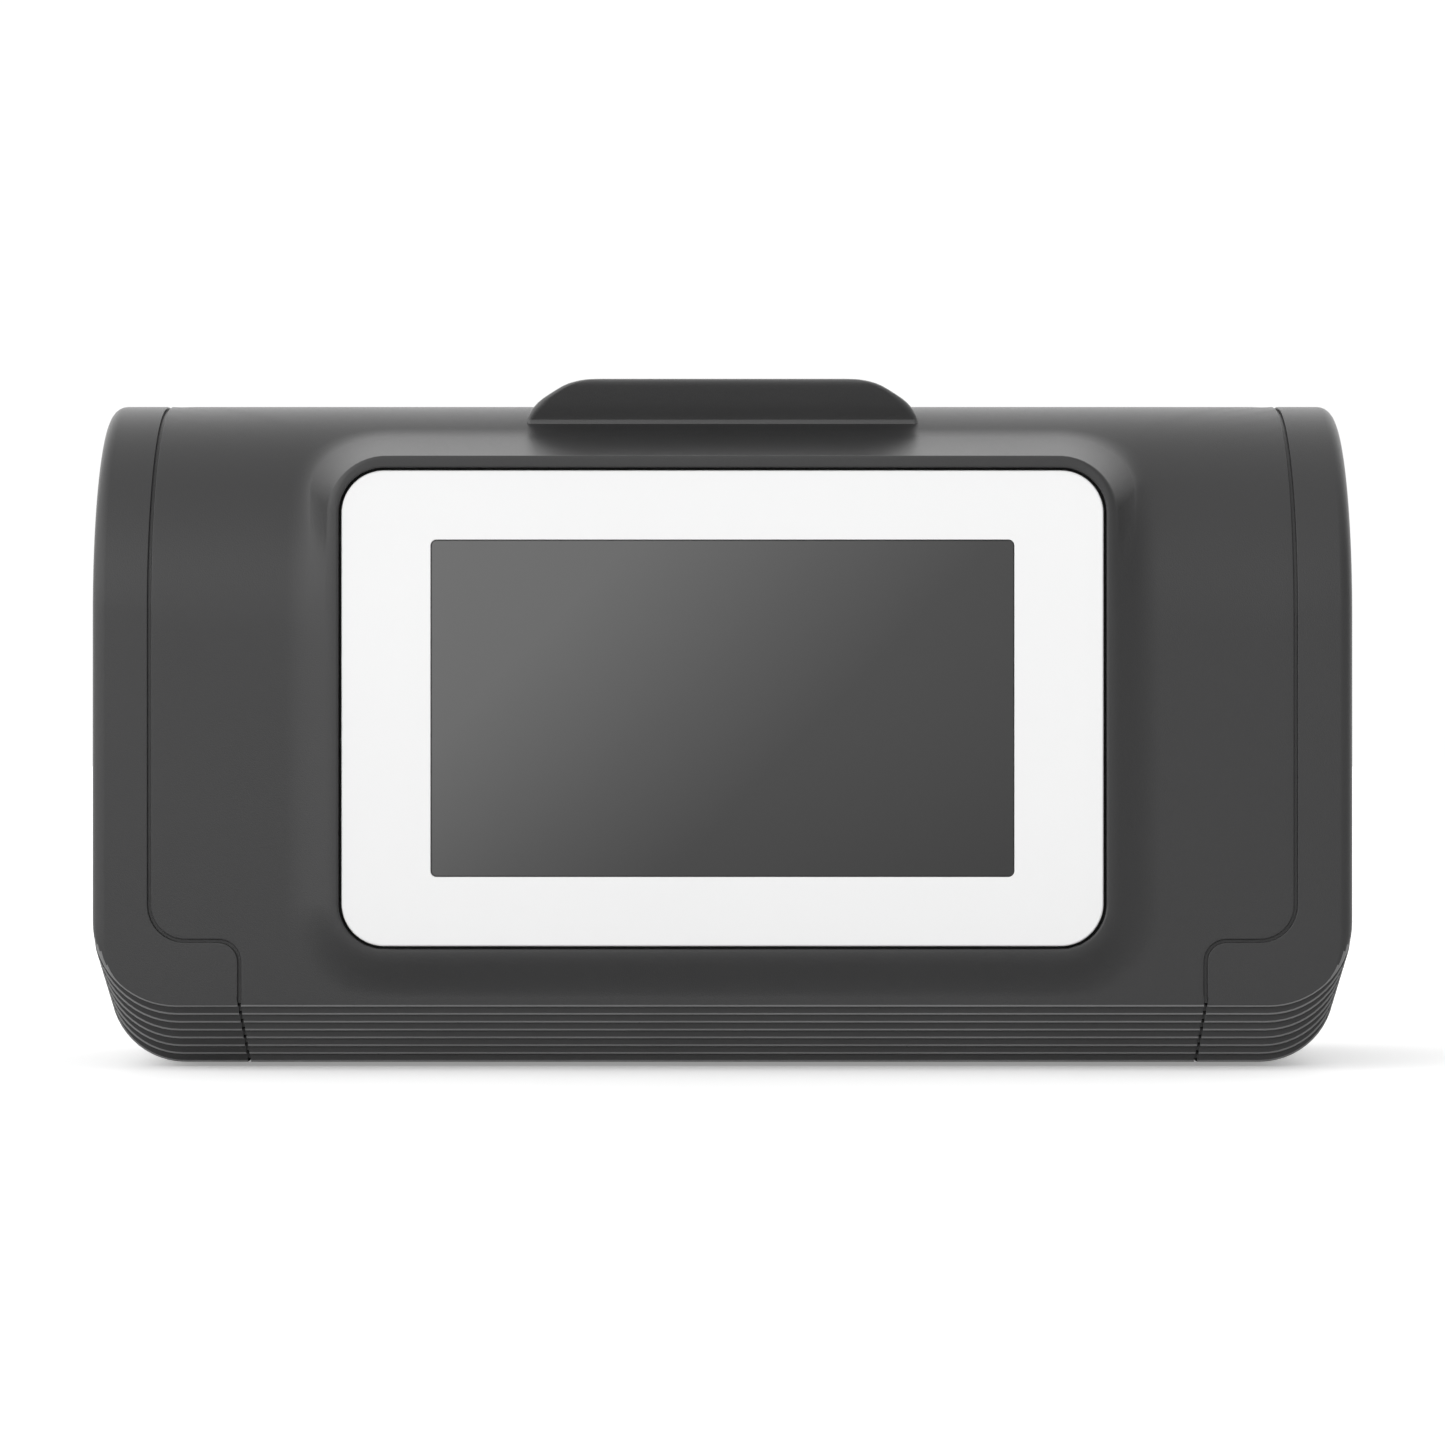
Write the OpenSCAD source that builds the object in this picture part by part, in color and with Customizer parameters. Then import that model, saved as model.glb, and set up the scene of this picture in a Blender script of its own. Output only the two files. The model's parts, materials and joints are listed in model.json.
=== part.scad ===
/* [Body] */
// Overall width across the two end caps
body_w = 312; // [310:1:314]
// Depth of the loaf-shaped body, without the raised display frame
body_d = 114; // [114:1:115]
// Height of the crown's arc centre above the floor
crown_z = 113.2; // [113:0.1:114]
// Radius of the crown, front and rear
crown_r = 54; // [53.5:0.5:54]
// Thickness of the moulded walls
wall = 2.4; // [2.2:0.1:2.6]
// Height of the floor gap under the body
floor_gap = 1.2; // [1:0.1:1.5]

/* [Stepped foot] */
// Number of steps under each long side
step_count = 7; // [5:1:7]
// Height of one step
step_rise = 2.09; // [2:0.01:2.1]
// Set-back of one step towards the middle
step_run = 2.36; // [2.2:0.01:2.4]
// Lower corner radius of the end caps
corner_r = 21; // [20:0.5:22]
// Rounding between the end caps' side faces and the crown
side_edge_r = 3.5; // [2:0.5:4]

/* [End cap seams] */
// Distance of the upper seam from the middle
seam_x = 141.7; // [141:0.1:142]
// Distance of the lower seam from the middle
seam_low_x = 119.4; // [118:0.1:120]
// Height of the jog that joins both seams
seam_z = 32.1; // [31:0.1:33]
// Width of the seam groove
seam_gap = 0.8; // [0.6:0.1:1]

/* [Display] */
// Width of the white display bezel
bezel_w = 188; // [186:1:189]
// Height of the white display bezel
bezel_h = 117.4; // [116:0.2:118]
// Corner radius of the bezel
bezel_r = 10.6; // [8:0.2:12]
// Width of the visible screen
screen_w = 144; // [140:1:146]
// Height of the visible screen
screen_h = 83.2; // [80:0.2:84]
// Height of the display's centre
display_z = 89.6; // [89.4:0.1:89.8]
// How far the display frame and the window frame stand proud
frame_proud = 3; // [3:0.1:3.2]

/* [Optical window] */
// Width of the infrared window
window_w = 240; // [236:1:242]
// Height of the infrared window
window_h = 92; // [88:1:94]
// Height of the window's centre
window_z = 91; // [90:0.5:92]
// Distance of each camera from the middle
camera_x = 88; // [84:1:90]

/* [Grip] */
// Width of the grip at its foot
grip_w = 98.8; // [96:0.2:100]
// Width of the grip at its top
grip_top_w = 66; // [62:1:70]
// Depth of the grip at its foot
grip_d = 53; // [50:1:54]
// Depth of the grip at its top
grip_top_d = 66; // [64:1:68]
// Overall height, at the grip's top
grip_z = 172.7; // [172:0.1:174]

/* [Moving pieces] */
// Radius of the power button
button_r = 6.93; // [6.91:0.01:6.95]
// Height of the power button
button_z = 120; // [118:1:122]
// Half width of the port cover
cover_half = 24; // [23:0.5:24]
// Lower edge of the port bay
bay_low = 38; // [37.5:0.5:38.5]
// Upper edge of the port bay
bay_high = 64; // [63.5:0.5:64.5]
// Distance of each levelling foot from the middle
foot_x = 84; // [82:1:86]
// Distance of the feet towards the front or rear
foot_y = 13; // [12:1:13]

/* [Hidden] */
$fn = 96;

charcoal = "#4a4a4b";
cap_grey = "#4c4c4d";
white = "#f6f6f6";
near_black = "#1b1b1c";
board_green = "#1f4d36";
half_w = body_w / 2;
half_d = body_d / 2;
frame_y = half_d + frame_proud;
crown_y = half_d - crown_r;
step_z = floor_gap + step_count * step_rise;
corner_shrink = 0.33;
side_shrink = 0.41;
slack = 0.3;
eps = 0.05;

// ledge behind the bezel and behind the window
ledge_y = frame_y - 3.6;
display_low = display_z - 62;
display_high = display_z + 62.2;
window_low = window_z - window_h / 2 - 6;
window_high = window_z + window_h / 2 + 6;
bezel_back = frame_y - 2.8;
glass_front = frame_y - 0.7;
panel_back = frame_y - 7.3;
plate_back = panel_back - 1.2;

// optical bench and its cameras
bench_back = 26;
bench_front = 30;
bench_w = 264;
bench_low = 41;
bench_high = 141;
bench_boss_x = 127;
bench_boss_low = 49;
bench_boss_high = 135;
housing_front = 46;
lens_r = 9.5;
barrel_r = 12;
barrel_front = 54;
main_front = 9.6;
main_back = 8;

// base, feet and battery
plate_top = 3.5;
plate_w = 207.2;
plate_d = 59.2;
ledge_top = 5.6;
pad_r = 8;
stud_r = 4;
battery_w = 136;
battery_d = 38;
battery_low = 13.5;
battery_high = 33.5;

// port bay, cover hinge and button
bay_floor = -half_w + 8.4;
hinge_x = -half_w + 1.9;
hinge_z = bay_low + 2.3;
hinge_r = 1.9;
pin_r = 0.9;
ear_inner = 16.3;
io_top = 43.6;
io_board_h = 1.6;
io_screw_x = [-138, -124];
io_screw_y = 23.1;
ring_r = 9.2;
switch_x = 144.6;
cap_screw_x = 115;
cap_screw_y = 26;
base_screw_x = 98;
base_screw_y = 26.4;
grip_screw_x = 28;
grip_screw_y = 12;

// rounded rectangle about the origin, made of squares and circles
module rounded(w, h, r) {
    square([w - 2 * r, h], center = true);
    square([w, h - 2 * r], center = true);
    for (sx = [-1, 1])
        for (sy = [-1, 1])
            translate([sx * (w / 2 - r), sy * (h / 2 - r)])
                circle(r);
}

// plate that faces the rear or the front, from y0 to y1
module plate_y(w, h, r, y0, y1, z, x = 0)
    translate([x, y1, z])
        rotate([90, 0, 0])
            linear_extrude(y1 - y0)
                rounded(w, h, r);

// plate that lies flat, from z0 to z1
module plate_z(w, d, r, z0, z1, x = 0, y = 0)
    translate([x, y, z0])
        linear_extrude(z1 - z0)
            rounded(w, d, r);

// outline in the Y-Z plane drawn out from x0 to x1
module along_x(x0, x1)
    translate([x0, 0, 0])
        rotate([90, 0, 90])
            linear_extrude(x1 - x0)
                children();

// outline in the X-Z plane drawn out from y0 to y1
module along_y(y0, y1)
    translate([0, y1, 0])
        rotate([90, 0, 0])
            linear_extrude(y1 - y0)
                children();

// rod along X, along Y or upright, from one end to the other
module rod_x(r, x0, x1, y, z)
    translate([x0, y, z])
        rotate([0, 90, 0])
            cylinder(r = r, h = x1 - x0);

module rod_y(r, y0, y1, x, z)
    translate([x, y1, z])
        rotate([90, 0, 0])
            cylinder(r = r, h = y1 - y0);

module rod_z(r, z0, z1, x, y)
    translate([x, y, z0])
        cylinder(r = r, h = z1 - z0);

module box(x0, x1, y0, y1, z0, z1)
    translate([x0, y0, z0])
        cube([x1 - x0, y1 - y0, z1 - z0]);

// loaf outline from height low upwards, shrunk by inset
module loaf(inset, low) {
    translate([inset - half_d, low])
        square([body_d - 2 * inset, crown_z - low]);
    translate([-crown_y, crown_z - 1])
        square([2 * crown_y, crown_r - inset + 1]);
    for (s = [-1, 1])
        translate([s * crown_y, crown_z])
            circle(crown_r - inset);
}

// loaf outline with the steps under it
module stepped_loaf() {
    loaf(0, step_z);
    for (k = [1 : step_count])
        translate([step_run * k - half_d, step_z - step_rise * k])
            square([body_d - 2 * step_run * k, step_rise * k + 1]);
}

// inner outline: the walls keep their thickness along the steps
module loaf_hollow(extra = 0) {
    t = wall + extra;
    rise = step_rise / step_run;
    foot_half = half_d - step_run * (step_count + 1) - extra / rise + 1.2;
    low = floor_gap + t;
    slope_top = low + (half_d - t - foot_half) * rise;
    loaf(t, slope_top);
    polygon([[-foot_half, low], [foot_half, low], [half_d - t, slope_top + 0.01],
        [t - half_d, slope_top + 0.01]]);
}

// region of the middle shells between both seams, grown by g
module seam_region(g) {
    x1 = seam_x + g;
    x2 = seam_low_x + g;
    z1 = seam_z - g;
    r1 = 8.9 + g;
    r2 = 5.2 - g;
    top = 200;
    translate([-x1, z1 + r1])
        square([2 * x1, top - z1 - r1]);
    translate([r1 - x1, z1])
        square([2 * (x1 - r1), r1 + 1]);
    for (s = [-1, 1]) {
        translate([s * (x1 - r1), z1 + r1])
            circle(r1);
        difference() {
            translate([s * (x2 + r2 / 2 - 0.5), z1 - r2 / 2 + 0.5])
                square([r2 + 1, r2 + 1], center = true);
            translate([s * (x2 + r2), z1 - r2])
                circle(r2);
            translate([s * (x2 + r2), z1 - r2 - 5])
                square([0.02, 10], center = true);
        }
    }
    translate([-x2, -10])
        square([2 * x2, z1 + 12]);
}

// one step of the end caps, seen from the rear: rounded lower corners
module step_outline(k, top) {
    w = half_w - side_shrink * k;
    r = corner_r - corner_shrink * k;
    low = step_z - step_rise * k;
    over = k == 0 ? 4 : 0;
    translate([r - w, low])
        square([2 * (w - r), top - low]);
    translate([-w - over, low + r])
        square([2 * w + 2 * over, top - low - r]);
    for (s = [-1, 1])
        translate([s * (w - r), low + r])
            circle(r);
}

// outline with one rounded corner: reach outwards from the core, then along X from x0 to the side
module rim_outline(reach, x0) {
    e = side_edge_r;
    square_w = half_w - x0;
    translate([0, x0])
        square([reach, square_w - e]);
    translate([0, x0])
        square([reach - e, square_w]);
    translate([reach - e, half_w - e])
        circle(e);
}

// end of the loaf with a rounded rim round its side face
module rounded_end(x0) {
    linear_extrude(crown_z)
        for (s = [0, 1])
            mirror([0, s, 0])
                mirror([1, -1, 0])
                    rim_outline(half_d, x0);
    along_y(-crown_y, crown_y)
        translate([0, crown_z])
            mirror([1, -1, 0])
                rim_outline(crown_r, x0);
    for (s = [0, 1])
        mirror([0, s, 0])
            translate([0, crown_y, crown_z])
                rotate([90, 0, 90])
                    rotate_extrude(angle = 90)
                        rim_outline(crown_r, x0);
}

module whole_outside(x0)
    intersection() {
        rounded_end(x0);
        union() {
            along_y(-half_d, half_d)
                step_outline(0, 200);
            for (k = [1 : step_count])
                along_y(step_run * k - half_d, half_d - step_run * k)
                    step_outline(k, step_z + corner_r + 10);
        }
    }

module cap_hollow(extra)
    intersection() {
        along_x(-half_w, half_w)
            loaf_hollow(extra);
        along_y(-half_d, half_d)
            union() {
                low_half = half_w - wall - extra - 2.6;
                low_r = corner_r - 2;
                low = floor_gap + wall + extra;
                translate([low_r - low_half, low])
                    square([2 * (low_half - low_r), 60]);
                translate([-low_half, low + low_r])
                    square([2 * low_half, 60]);
                for (s = [-1, 1])
                    translate([s * (low_half - low_r), low + low_r])
                        circle(low_r);
                translate([wall + extra - half_w, step_z + corner_r])
                    square([body_w - 2 * wall - 2 * extra, 160]);
            }
    }

// raised frame: slopes run from its rim down to the loaf, all shrunk by inset
module raised_frame(w, low, high, r, spread, top_rise, inset)
    hull() {
        rim_y = inset == 0 ? frame_y : half_d - wall;
        mid = (low + high) / 2;
        outer_w = w + 2 * spread - 2 * inset;
        outer_h = high - low + spread + top_rise - 2 * inset;
        plate_y(w - 2 * inset, high - low - 2 * inset, r - inset, -rim_y, 0.2 - rim_y, mid);
        intersection() {
            along_x(-outer_w / 2, outer_w / 2)
                loaf(0.15 + inset, low - spread);
            plate_y(outer_w, outer_h, r + spread - inset, -half_d, 0, mid + (top_rise - spread) / 2);
        }
    }

// screw with a flat head: the head runs from z0 to z1, the shank on to z2
module screw_z(x, y, z0, z1, z2, head, shank) {
    rod_z(head, min(z0, z1), max(z0, z1), x, y);
    rod_z(shank, min(z1, z2), max(z1, z2), x, y);
}

module screw_y(x, z, y0, y1, y2, head, shank) {
    rod_y(head, min(y0, y1), max(y0, y1), x, z);
    rod_y(shank, min(y1, y2), max(y1, y2), x, z);
}

// open tube between the seams: stepped loaf without its hollow
module middle_tube()
    difference() {
        intersection() {
            along_x(-half_w, half_w)
                stepped_loaf();
            along_y(-half_d, half_d)
                seam_region(-seam_gap / 2);
        }
        along_x(-half_w - 1, half_w + 1)
            loaf_hollow();
    }

// half of the middle shells, on the rear side; frame values are the opening's w, low, high and r
module half_shell(w, low, high, r, spread, top_rise, seat_w, seat_h, seat_r, open_w, open_h, seat_z) {
    difference() {
        union() {
            middle_tube();
            raised_frame(w, low, high, r, spread, top_rise, 0);
        }
        along_x(-seam_x + 0.5, seam_x - 0.5)
            loaf_hollow();
        raised_frame(w, low, high, r, spread, top_rise, wall + 0.2);
        plate_y(seat_w, seat_h, seat_r, -frame_y - 1, -ledge_y, seat_z);
        plate_y(open_w, open_h, 4, -frame_y, -40, seat_z);
        plate_z(plate_w + 0.8, plate_d + 0.8, 6, 0, floor_gap + wall + 1);
        box(-200, 200, 0, 100, -10, 200);
        for (s = [-1, 1]) {
            rod_z(1.8, 150, 190, s * grip_screw_x, -grip_screw_y);
            rod_z(1.8, 0, 6, s * cap_screw_x, -cap_screw_y);
            rod_z(3, 0, floor_gap + 1.2, s * cap_screw_x, -cap_screw_y);
        }
    }
    difference() {
        union() {
            plate_z(220, 72, 5, floor_gap + wall - eps, ledge_top);
            for (x = [-base_screw_x, 0, base_screw_x])
                rod_z(3.2, ledge_top - eps, 11, x, -base_screw_y);
        }
        plate_z(196, 48, 5, 0, 20);
        box(-200, 200, 0, 100, -10, 200);
        for (x = [-base_screw_x, 0, base_screw_x])
            rod_z(1.45, 0, 9.5, x, -base_screw_y);
    }
    for (s = [-1, 1])
        difference() {
            rod_z(4.2, 162.6, 165.2, s * grip_screw_x, -grip_screw_y);
            rod_z(1.8, 160, 170, s * grip_screw_x, -grip_screw_y);
        }
}

module rear_shell()
    color(charcoal) {
        half_shell(194, display_low, display_high, 14, 7, 6.9, bezel_w + 1.4, bezel_h + 1.4,
            bezel_r + 0.7, 160, 98, display_z);
        for (x = [-86, 86])
            for (z = [52, 127])
                difference() {
                    rod_y(3.4, -ledge_y + wall - 0.9, -panel_back, x, z);
                    rod_y(1.25, -ledge_y + wall - 0.5, -panel_back + 1, x, z);
                }
    }

module front_shell()
    color(charcoal) {
        mirror([0, 1, 0])
            half_shell(window_w + 12, window_low, window_high, 15, 6, 8, window_w, window_h, 10,
                window_w - 10, window_h - 10, window_z);
        for (s = [-1, 1]) {
            bench_post(s * bench_boss_x, bench_boss_low, half_d - wall + 0.4);
            bench_post(s * bench_boss_x, bench_boss_high, half_d - wall - 4);
        }
    }

// post that the optical bench is screwed to
module bench_post(x, z, end)
    difference() {
        rod_y(3.6, bench_front, end, x, z);
        rod_y(1.45, bench_front - 1, bench_front + 9, x, z);
    }

// lip that runs inside the shells across the seam
module cap_lip(inner, g_out, g_in)
    difference() {
        cap_hollow(inner);
        cap_hollow(2.4);
        along_y(-half_d, half_d)
            seam_region(g_in);
        difference() {
            box(-200, 200, -100, 100, -10, 200);
            along_y(-half_d, half_d)
                seam_region(g_out);
        }
    }

// block that holds the cover's pin, rounded where the flap swings past
module hinge_ear(y0, y1) {
    box(hinge_x - hinge_r, hinge_x + hinge_r + 3, y0, y1, bay_low - 1, hinge_z);
    box(hinge_x, hinge_x + hinge_r + 3, y0, y1, hinge_z - eps, hinge_z + hinge_r);
    rod_y(hinge_r, y0, y1, hinge_x, hinge_z);
}

// both end caps share walls, lip and screw posts; drawn for the right side
module cap_walls()
    difference() {
        union() {
            difference() {
                whole_outside(100);
                cap_hollow(0);
                along_y(-half_d, half_d)
                    seam_region(seam_gap / 2);
            }
            intersection() {
                box(100, half_w, -100, 100, -10, 200);
                union() {
                    cap_lip(slack, 4, -5);
                    cap_lip(-0.2, 4, 0.6);
                }
            }
            for (s = [-1, 1])
                rod_z(3.4, floor_gap + wall + slack, 13, cap_screw_x, s * cap_screw_y);
        }
        for (s = [-1, 1])
            rod_z(1.45, 0, 12, cap_screw_x, s * cap_screw_y);
    }

module right_end_cap()
    color(cap_grey)
        difference() {
            union() {
                cap_walls();
                for (s = [-1, 1])
                    rod_x(2.8, switch_x, half_w - 1, s * 14, button_z);
            }
            rod_x(ring_r, half_w - 5, half_w + 1, 0, button_z);
            for (s = [-1, 1])
                rod_x(1.1, switch_x - 1, half_w - 4, s * 14, button_z);
        }

module left_end_cap()
    color(cap_grey)
        difference() {
            union() {
                mirror([1, 0, 0])
                    cap_walls();
                box(-half_w + 0.5, bay_floor + 1.8, -cover_half - 2.4, cover_half + 2.4, bay_low - 1.8,
                    bay_high + 1.8);
                for (x = io_screw_x)
                    for (s = [-1, 1])
                        rod_z(2.8, floor_gap + wall - 0.5, io_top - io_board_h, x, s * io_screw_y);
            }
            difference() {
                box(-half_w - 1, bay_floor, -cover_half - 0.5, cover_half + 0.5, bay_low, bay_high);
                hinge_ear(ear_inner, 30);
                hinge_ear(-30, -ear_inner);
            }
            rod_y(pin_r, -cover_half, cover_half, hinge_x, hinge_z);
            box(-150, -140, -21.2, -3.8, io_top - 0.2, 57.3);
            for (y = [4, 14])
                box(-150, -140, y - 0.2, y + 9.2, io_top - 0.2, 47.1);
            for (x = io_screw_x)
                for (s = [-1, 1])
                    rod_z(1.1, 30, io_top, x, s * io_screw_y);
        }

module base_plate()
    color(near_black)
        difference() {
            union() {
                plate_z(plate_w, plate_d, 5.6, floor_gap, plate_top);
                rod_z(9, plate_top - eps, 12.2, 0, 0);
                for (x = [-foot_x, foot_x])
                    rod_z(10.5, plate_top - eps, 16, x, foot_y);
                for (x = [-58, 56])
                    box(x, x + 2, -17, 17, plate_top - eps, battery_low);
            }
            rod_z(6, 0, 10.2, 0, 0);
            for (x = [-foot_x, foot_x]) {
                rod_z(9.2, 0, 5.2, x, foot_y);
                rod_z(6, 0, 14, x, foot_y);
                rod_z(4.6, 0, 20, x, foot_y);
                rod_z(7, 0, floor_gap + 0.8, x, -foot_y);
            }
            for (x = [-base_screw_x, 0, base_screw_x])
                for (s = [-1, 1]) {
                    rod_z(1.8, 0, 5, x, s * base_screw_y);
                    rod_z(3, 0, floor_gap + 1.1, x, s * base_screw_y);
                }
            for (x = [-22, 22])
                for (s = [-1, 1])
                    rod_z(1.1, 2, 5, x, s * 22.2);
        }

module carry_grip()
    color(charcoal)
        difference() {
            hull() {
                plate_z(grip_w, grip_d, 3, 150, grip_z - 9);
                plate_z(grip_w - 1.8, grip_d + 6.6, 5, grip_z - 5.8, grip_z - 5.6);
                plate_z(grip_w - 12, grip_d + 10.6, 5, grip_z - 3.3, grip_z - 3.1);
                plate_z(grip_top_w + 13.5, grip_top_d - 0.4, 5, grip_z - 1.7, grip_z - 1.5);
                plate_z(grip_top_w, grip_top_d - 3.5, 5, grip_z - 0.2, grip_z);
            }
            along_x(-60, 60)
                loaf(0, 100);
            for (sx = [-1, 1])
                for (sy = [-1, 1])
                    rod_z(1.45, 160, 170.5, sx * grip_screw_x, sy * grip_screw_y);
        }

module display_gasket()
    color(near_black)
        difference() {
            plate_y(bezel_w + 1.2, bezel_h + 1.2, bezel_r + 0.6, -bezel_back, -ledge_y, display_z);
            plate_y(164, 102, 4, -bezel_back - 1, -ledge_y + 1, display_z);
        }

module display_bezel()
    color(white)
        difference() {
            plate_y(bezel_w, bezel_h, bezel_r, -frame_y + 0.6, -bezel_back, display_z);
            plate_y(screen_w, screen_h, 1.5, -frame_y, -bezel_back + 1, display_z);
            plate_y(screen_w + 6.6, screen_h + 6.4, 2, -frame_y + 1.8, -bezel_back + 1, display_z);
        }

module screen_glass()
    color("#3c3c3d") {
        plate_y(screen_w - 0.4, screen_h - 0.4, 1.3, -glass_front, -frame_y + 1.9, display_z);
        plate_y(screen_w + 6, screen_h + 5.8, 1.8, -frame_y + 1.85, -bezel_back, display_z);
    }

module display_panel()
    color("#2a2c30")
        plate_y(152, 91, 1, -bezel_back, -panel_back, display_z);

module display_backplate()
    color("silver")
        difference() {
            union() {
                plate_y(152, 91, 2, -panel_back, -plate_back, display_z);
                for (z = [52, 127])
                    plate_y(181, 10, 4.9, -panel_back, -plate_back, z);
                for (x = [-34, 34])
                    for (z = [57, 87])
                        rod_y(2.2, -plate_back - eps, -48.5, x, z);
            }
            for (x = [-86, 86])
                for (z = [52, 127])
                    rod_y(1.5, -60, -40, x, z);
        }

module display_screws()
    color("gray")
        for (x = [-86, 86])
            for (z = [52, 127])
                screw_y(x, z, -plate_back + 1.4, -plate_back, -ledge_y + 2.2, 2.4, 1.2);

module display_board()
    color(board_green)
        plate_y(78, 42, 2, -48.5, -46.9, 72);

module display_flex()
    color("#c07a2a")
        along_x(-14, 14) {
            translate([-54.9, 41.6])
                square([0.3, 2.4]);
            translate([-54.9, 41.4])
                square([6.4, 0.3]);
            translate([-48.8, 41.4])
                square([0.3, 12]);
        }

module window_gasket()
    color(near_black)
        difference() {
            plate_y(window_w - 0.4, window_h - 0.4, 9.8, ledge_y, ledge_y + 1, window_z);
            plate_y(window_w - 8, window_h - 8, 6, ledge_y - 1, ledge_y + 2, window_z);
        }

module front_window()
    color([0.06, 0.03, 0.04, 0.9])
        plate_y(window_w - 0.8, window_h - 0.8, 9.6, ledge_y + 1, frame_y - 0.6, window_z);

module optical_bench()
    color("#8c9096")
        difference() {
            union() {
                box(-bench_w / 2, bench_w / 2, bench_back, bench_front, bench_low, bench_high);
                for (x = [-46, 46])
                    for (z = [window_z - 20, window_z + 20])
                        rod_y(3, bench_front - eps, 40, x, z);
            }
            for (s = [-1, 1]) {
                plate_y(34, 34, 3, 20, 35, window_z, s * camera_x);
                for (z = [bench_boss_low, bench_boss_high])
                    rod_y(1.8, 20, 35, s * bench_boss_x, z);
            }
            plate_y(60, 24, 4, 20, 35, window_z);
            for (x = [-70, 70])
                for (z = [52, 130])
                    rod_y(1.5, 20, 35, x, z);
        }

module bench_screws()
    color("gray")
        for (s = [-1, 1])
            for (z = [bench_boss_low, bench_boss_high])
                screw_y(s * bench_boss_x, z, bench_back - 2, bench_back, bench_front + 8, 3, 1.4);

// camera with its lens towards +Y
module camera_housing(x)
    color("#3a3d42")
        difference() {
            plate_y(42, 42, 4, bench_front, housing_front, window_z, x);
            plate_y(37, 37, 2, bench_front - 1, housing_front - 2.5, window_z, x);
            rod_y(10, 30, 50, x, window_z);
        }

module left_camera_housing()
    camera_housing(-camera_x);

module right_camera_housing()
    camera_housing(camera_x);

module sensor_board(x) {
    color(board_green)
        plate_y(36, 36, 1, bench_front + 1, bench_front + 2.6, window_z, x);
    color("#20242c")
        plate_y(12, 10, 0.5, bench_front + 2.55, bench_front + 4, window_z, x);
}

module left_sensor_board()
    sensor_board(-camera_x);

module right_sensor_board()
    sensor_board(camera_x);

module lens_barrel(x)
    color(near_black)
        difference() {
            union() {
                rod_y(barrel_r, housing_front, barrel_front, x, window_z);
                rod_y(10, housing_front - 6, barrel_front - 1, x, window_z);
            }
            rod_y(lens_r, housing_front + 2, 60, x, window_z);
            rod_y(7, 30, 60, x, window_z);
        }

module left_lens_barrel()
    lens_barrel(-camera_x);

module right_lens_barrel()
    lens_barrel(camera_x);

// lens: disc with a shallow dome
module lens_glass(x)
    color([0.4, 0.45, 0.6, 0.5])
        translate([x, housing_front + 2, window_z])
            rotate([-90, 0, 0])
                intersection() {
                    cylinder(r = lens_r, h = 6);
                    translate([0, 0, -15.5])
                        sphere(20);
                }

module left_lens_glass()
    lens_glass(-camera_x);

module right_lens_glass()
    lens_glass(camera_x);

module infrared_board()
    color(board_green)
        difference() {
            plate_y(108, 52, 3, 40, 41.6, window_z);
            for (x = [-46, 46])
                for (z = [window_z - 20, window_z + 20])
                    rod_y(1.1, 30, 50, x, z);
        }

module infrared_emitters()
    color([0.75, 0.78, 0.85, 0.8])
        for (x = [-30 : 12 : 30])
            for (z = [window_z - 14, window_z, window_z + 14]) {
                rod_y(3, 41.6, 44.4, x, z);
                translate([x, 44.4, z])
                    sphere(2.6);
            }

module tilt_sensor_board()
    color(board_green)
        box(-12, 12, bench_back - 1.6, bench_back, 112, 128);

module board_standoffs()
    color("#b8963e")
        for (x = [-70, 70])
            for (z = [52, 130])
                translate([x, bench_back, z])
                    rotate([90, 0, 0])
                        cylinder(r = 2.8, h = bench_back - main_front, $fn = 6);

module main_board()
    color(board_green)
        difference() {
            plate_y(156, 92, 3, main_back, main_front, window_z);
            for (x = [-70, 70])
                for (z = [52, 130])
                    rod_y(1.5, 0, 20, x, z);
        }

module board_components()
    color("#202225") {
        box(-14, 14, main_back - 1.6, main_back, 76, 104);
        box(-40, -24, main_back - 1.1, main_back, 84, 96);
        box(-40, -24, main_back - 1.1, main_back, 100, 112);
        box(26, 44, main_back - 1.4, main_back, 84, 98);
        box(48, 66, main_back - 5, main_back, 60, 70);
        box(-66, -50, main_back - 5, main_back, 60, 74);
        for (x = [30 : 9 : 57])
            rod_y(3, main_back - 7, main_back, x, 114);
        box(-20, 20, main_back - 3.4, main_back, 47.5, 53);
    }

module heat_sink()
    color("#9a9da2") {
        box(-17, 17, main_back - 4.1, main_back - 1.6, 73, 107);
        for (i = [0 : 8])
            box(-17 + i * 4, -15.4 + i * 4, main_back - 14, main_back - 4, 73, 107);
    }

module board_screws()
    color("gray")
        for (x = [-70, 70])
            for (z = [52, 130])
                rod_y(2.8, main_back - 1.8, main_back, x, z);

module battery_pack()
    color("#2d4f86")
        plate_z(battery_w, battery_d, 4, battery_low, battery_high);

// clamp over the battery, with a foot on each side
module battery_bracket()
    color("silver")
        difference() {
            union() {
                box(-28, 28, -20.7, 20.7, battery_high, battery_high + 1.2);
                for (s = [-1, 1]) {
                    box(-28, 28, min(s * 19.5, s * 20.7), max(s * 19.5, s * 20.7), plate_top, battery_high);
                    box(-28, 28, min(s * 19.5, s * 23.8), max(s * 19.5, s * 23.8), plate_top,
                        plate_top + 1.2);
                }
            }
            for (x = [-22, 22])
                for (s = [-1, 1])
                    rod_z(1.2, 0, 10, x, s * 22.2);
        }

module bracket_screws()
    color("gray")
        for (x = [-22, 22])
            for (s = [-1, 1])
                screw_z(x, s * 22.2, plate_top + 2.2, plate_top + 1.2, 2.3, 1.4, 1.05);

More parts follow.
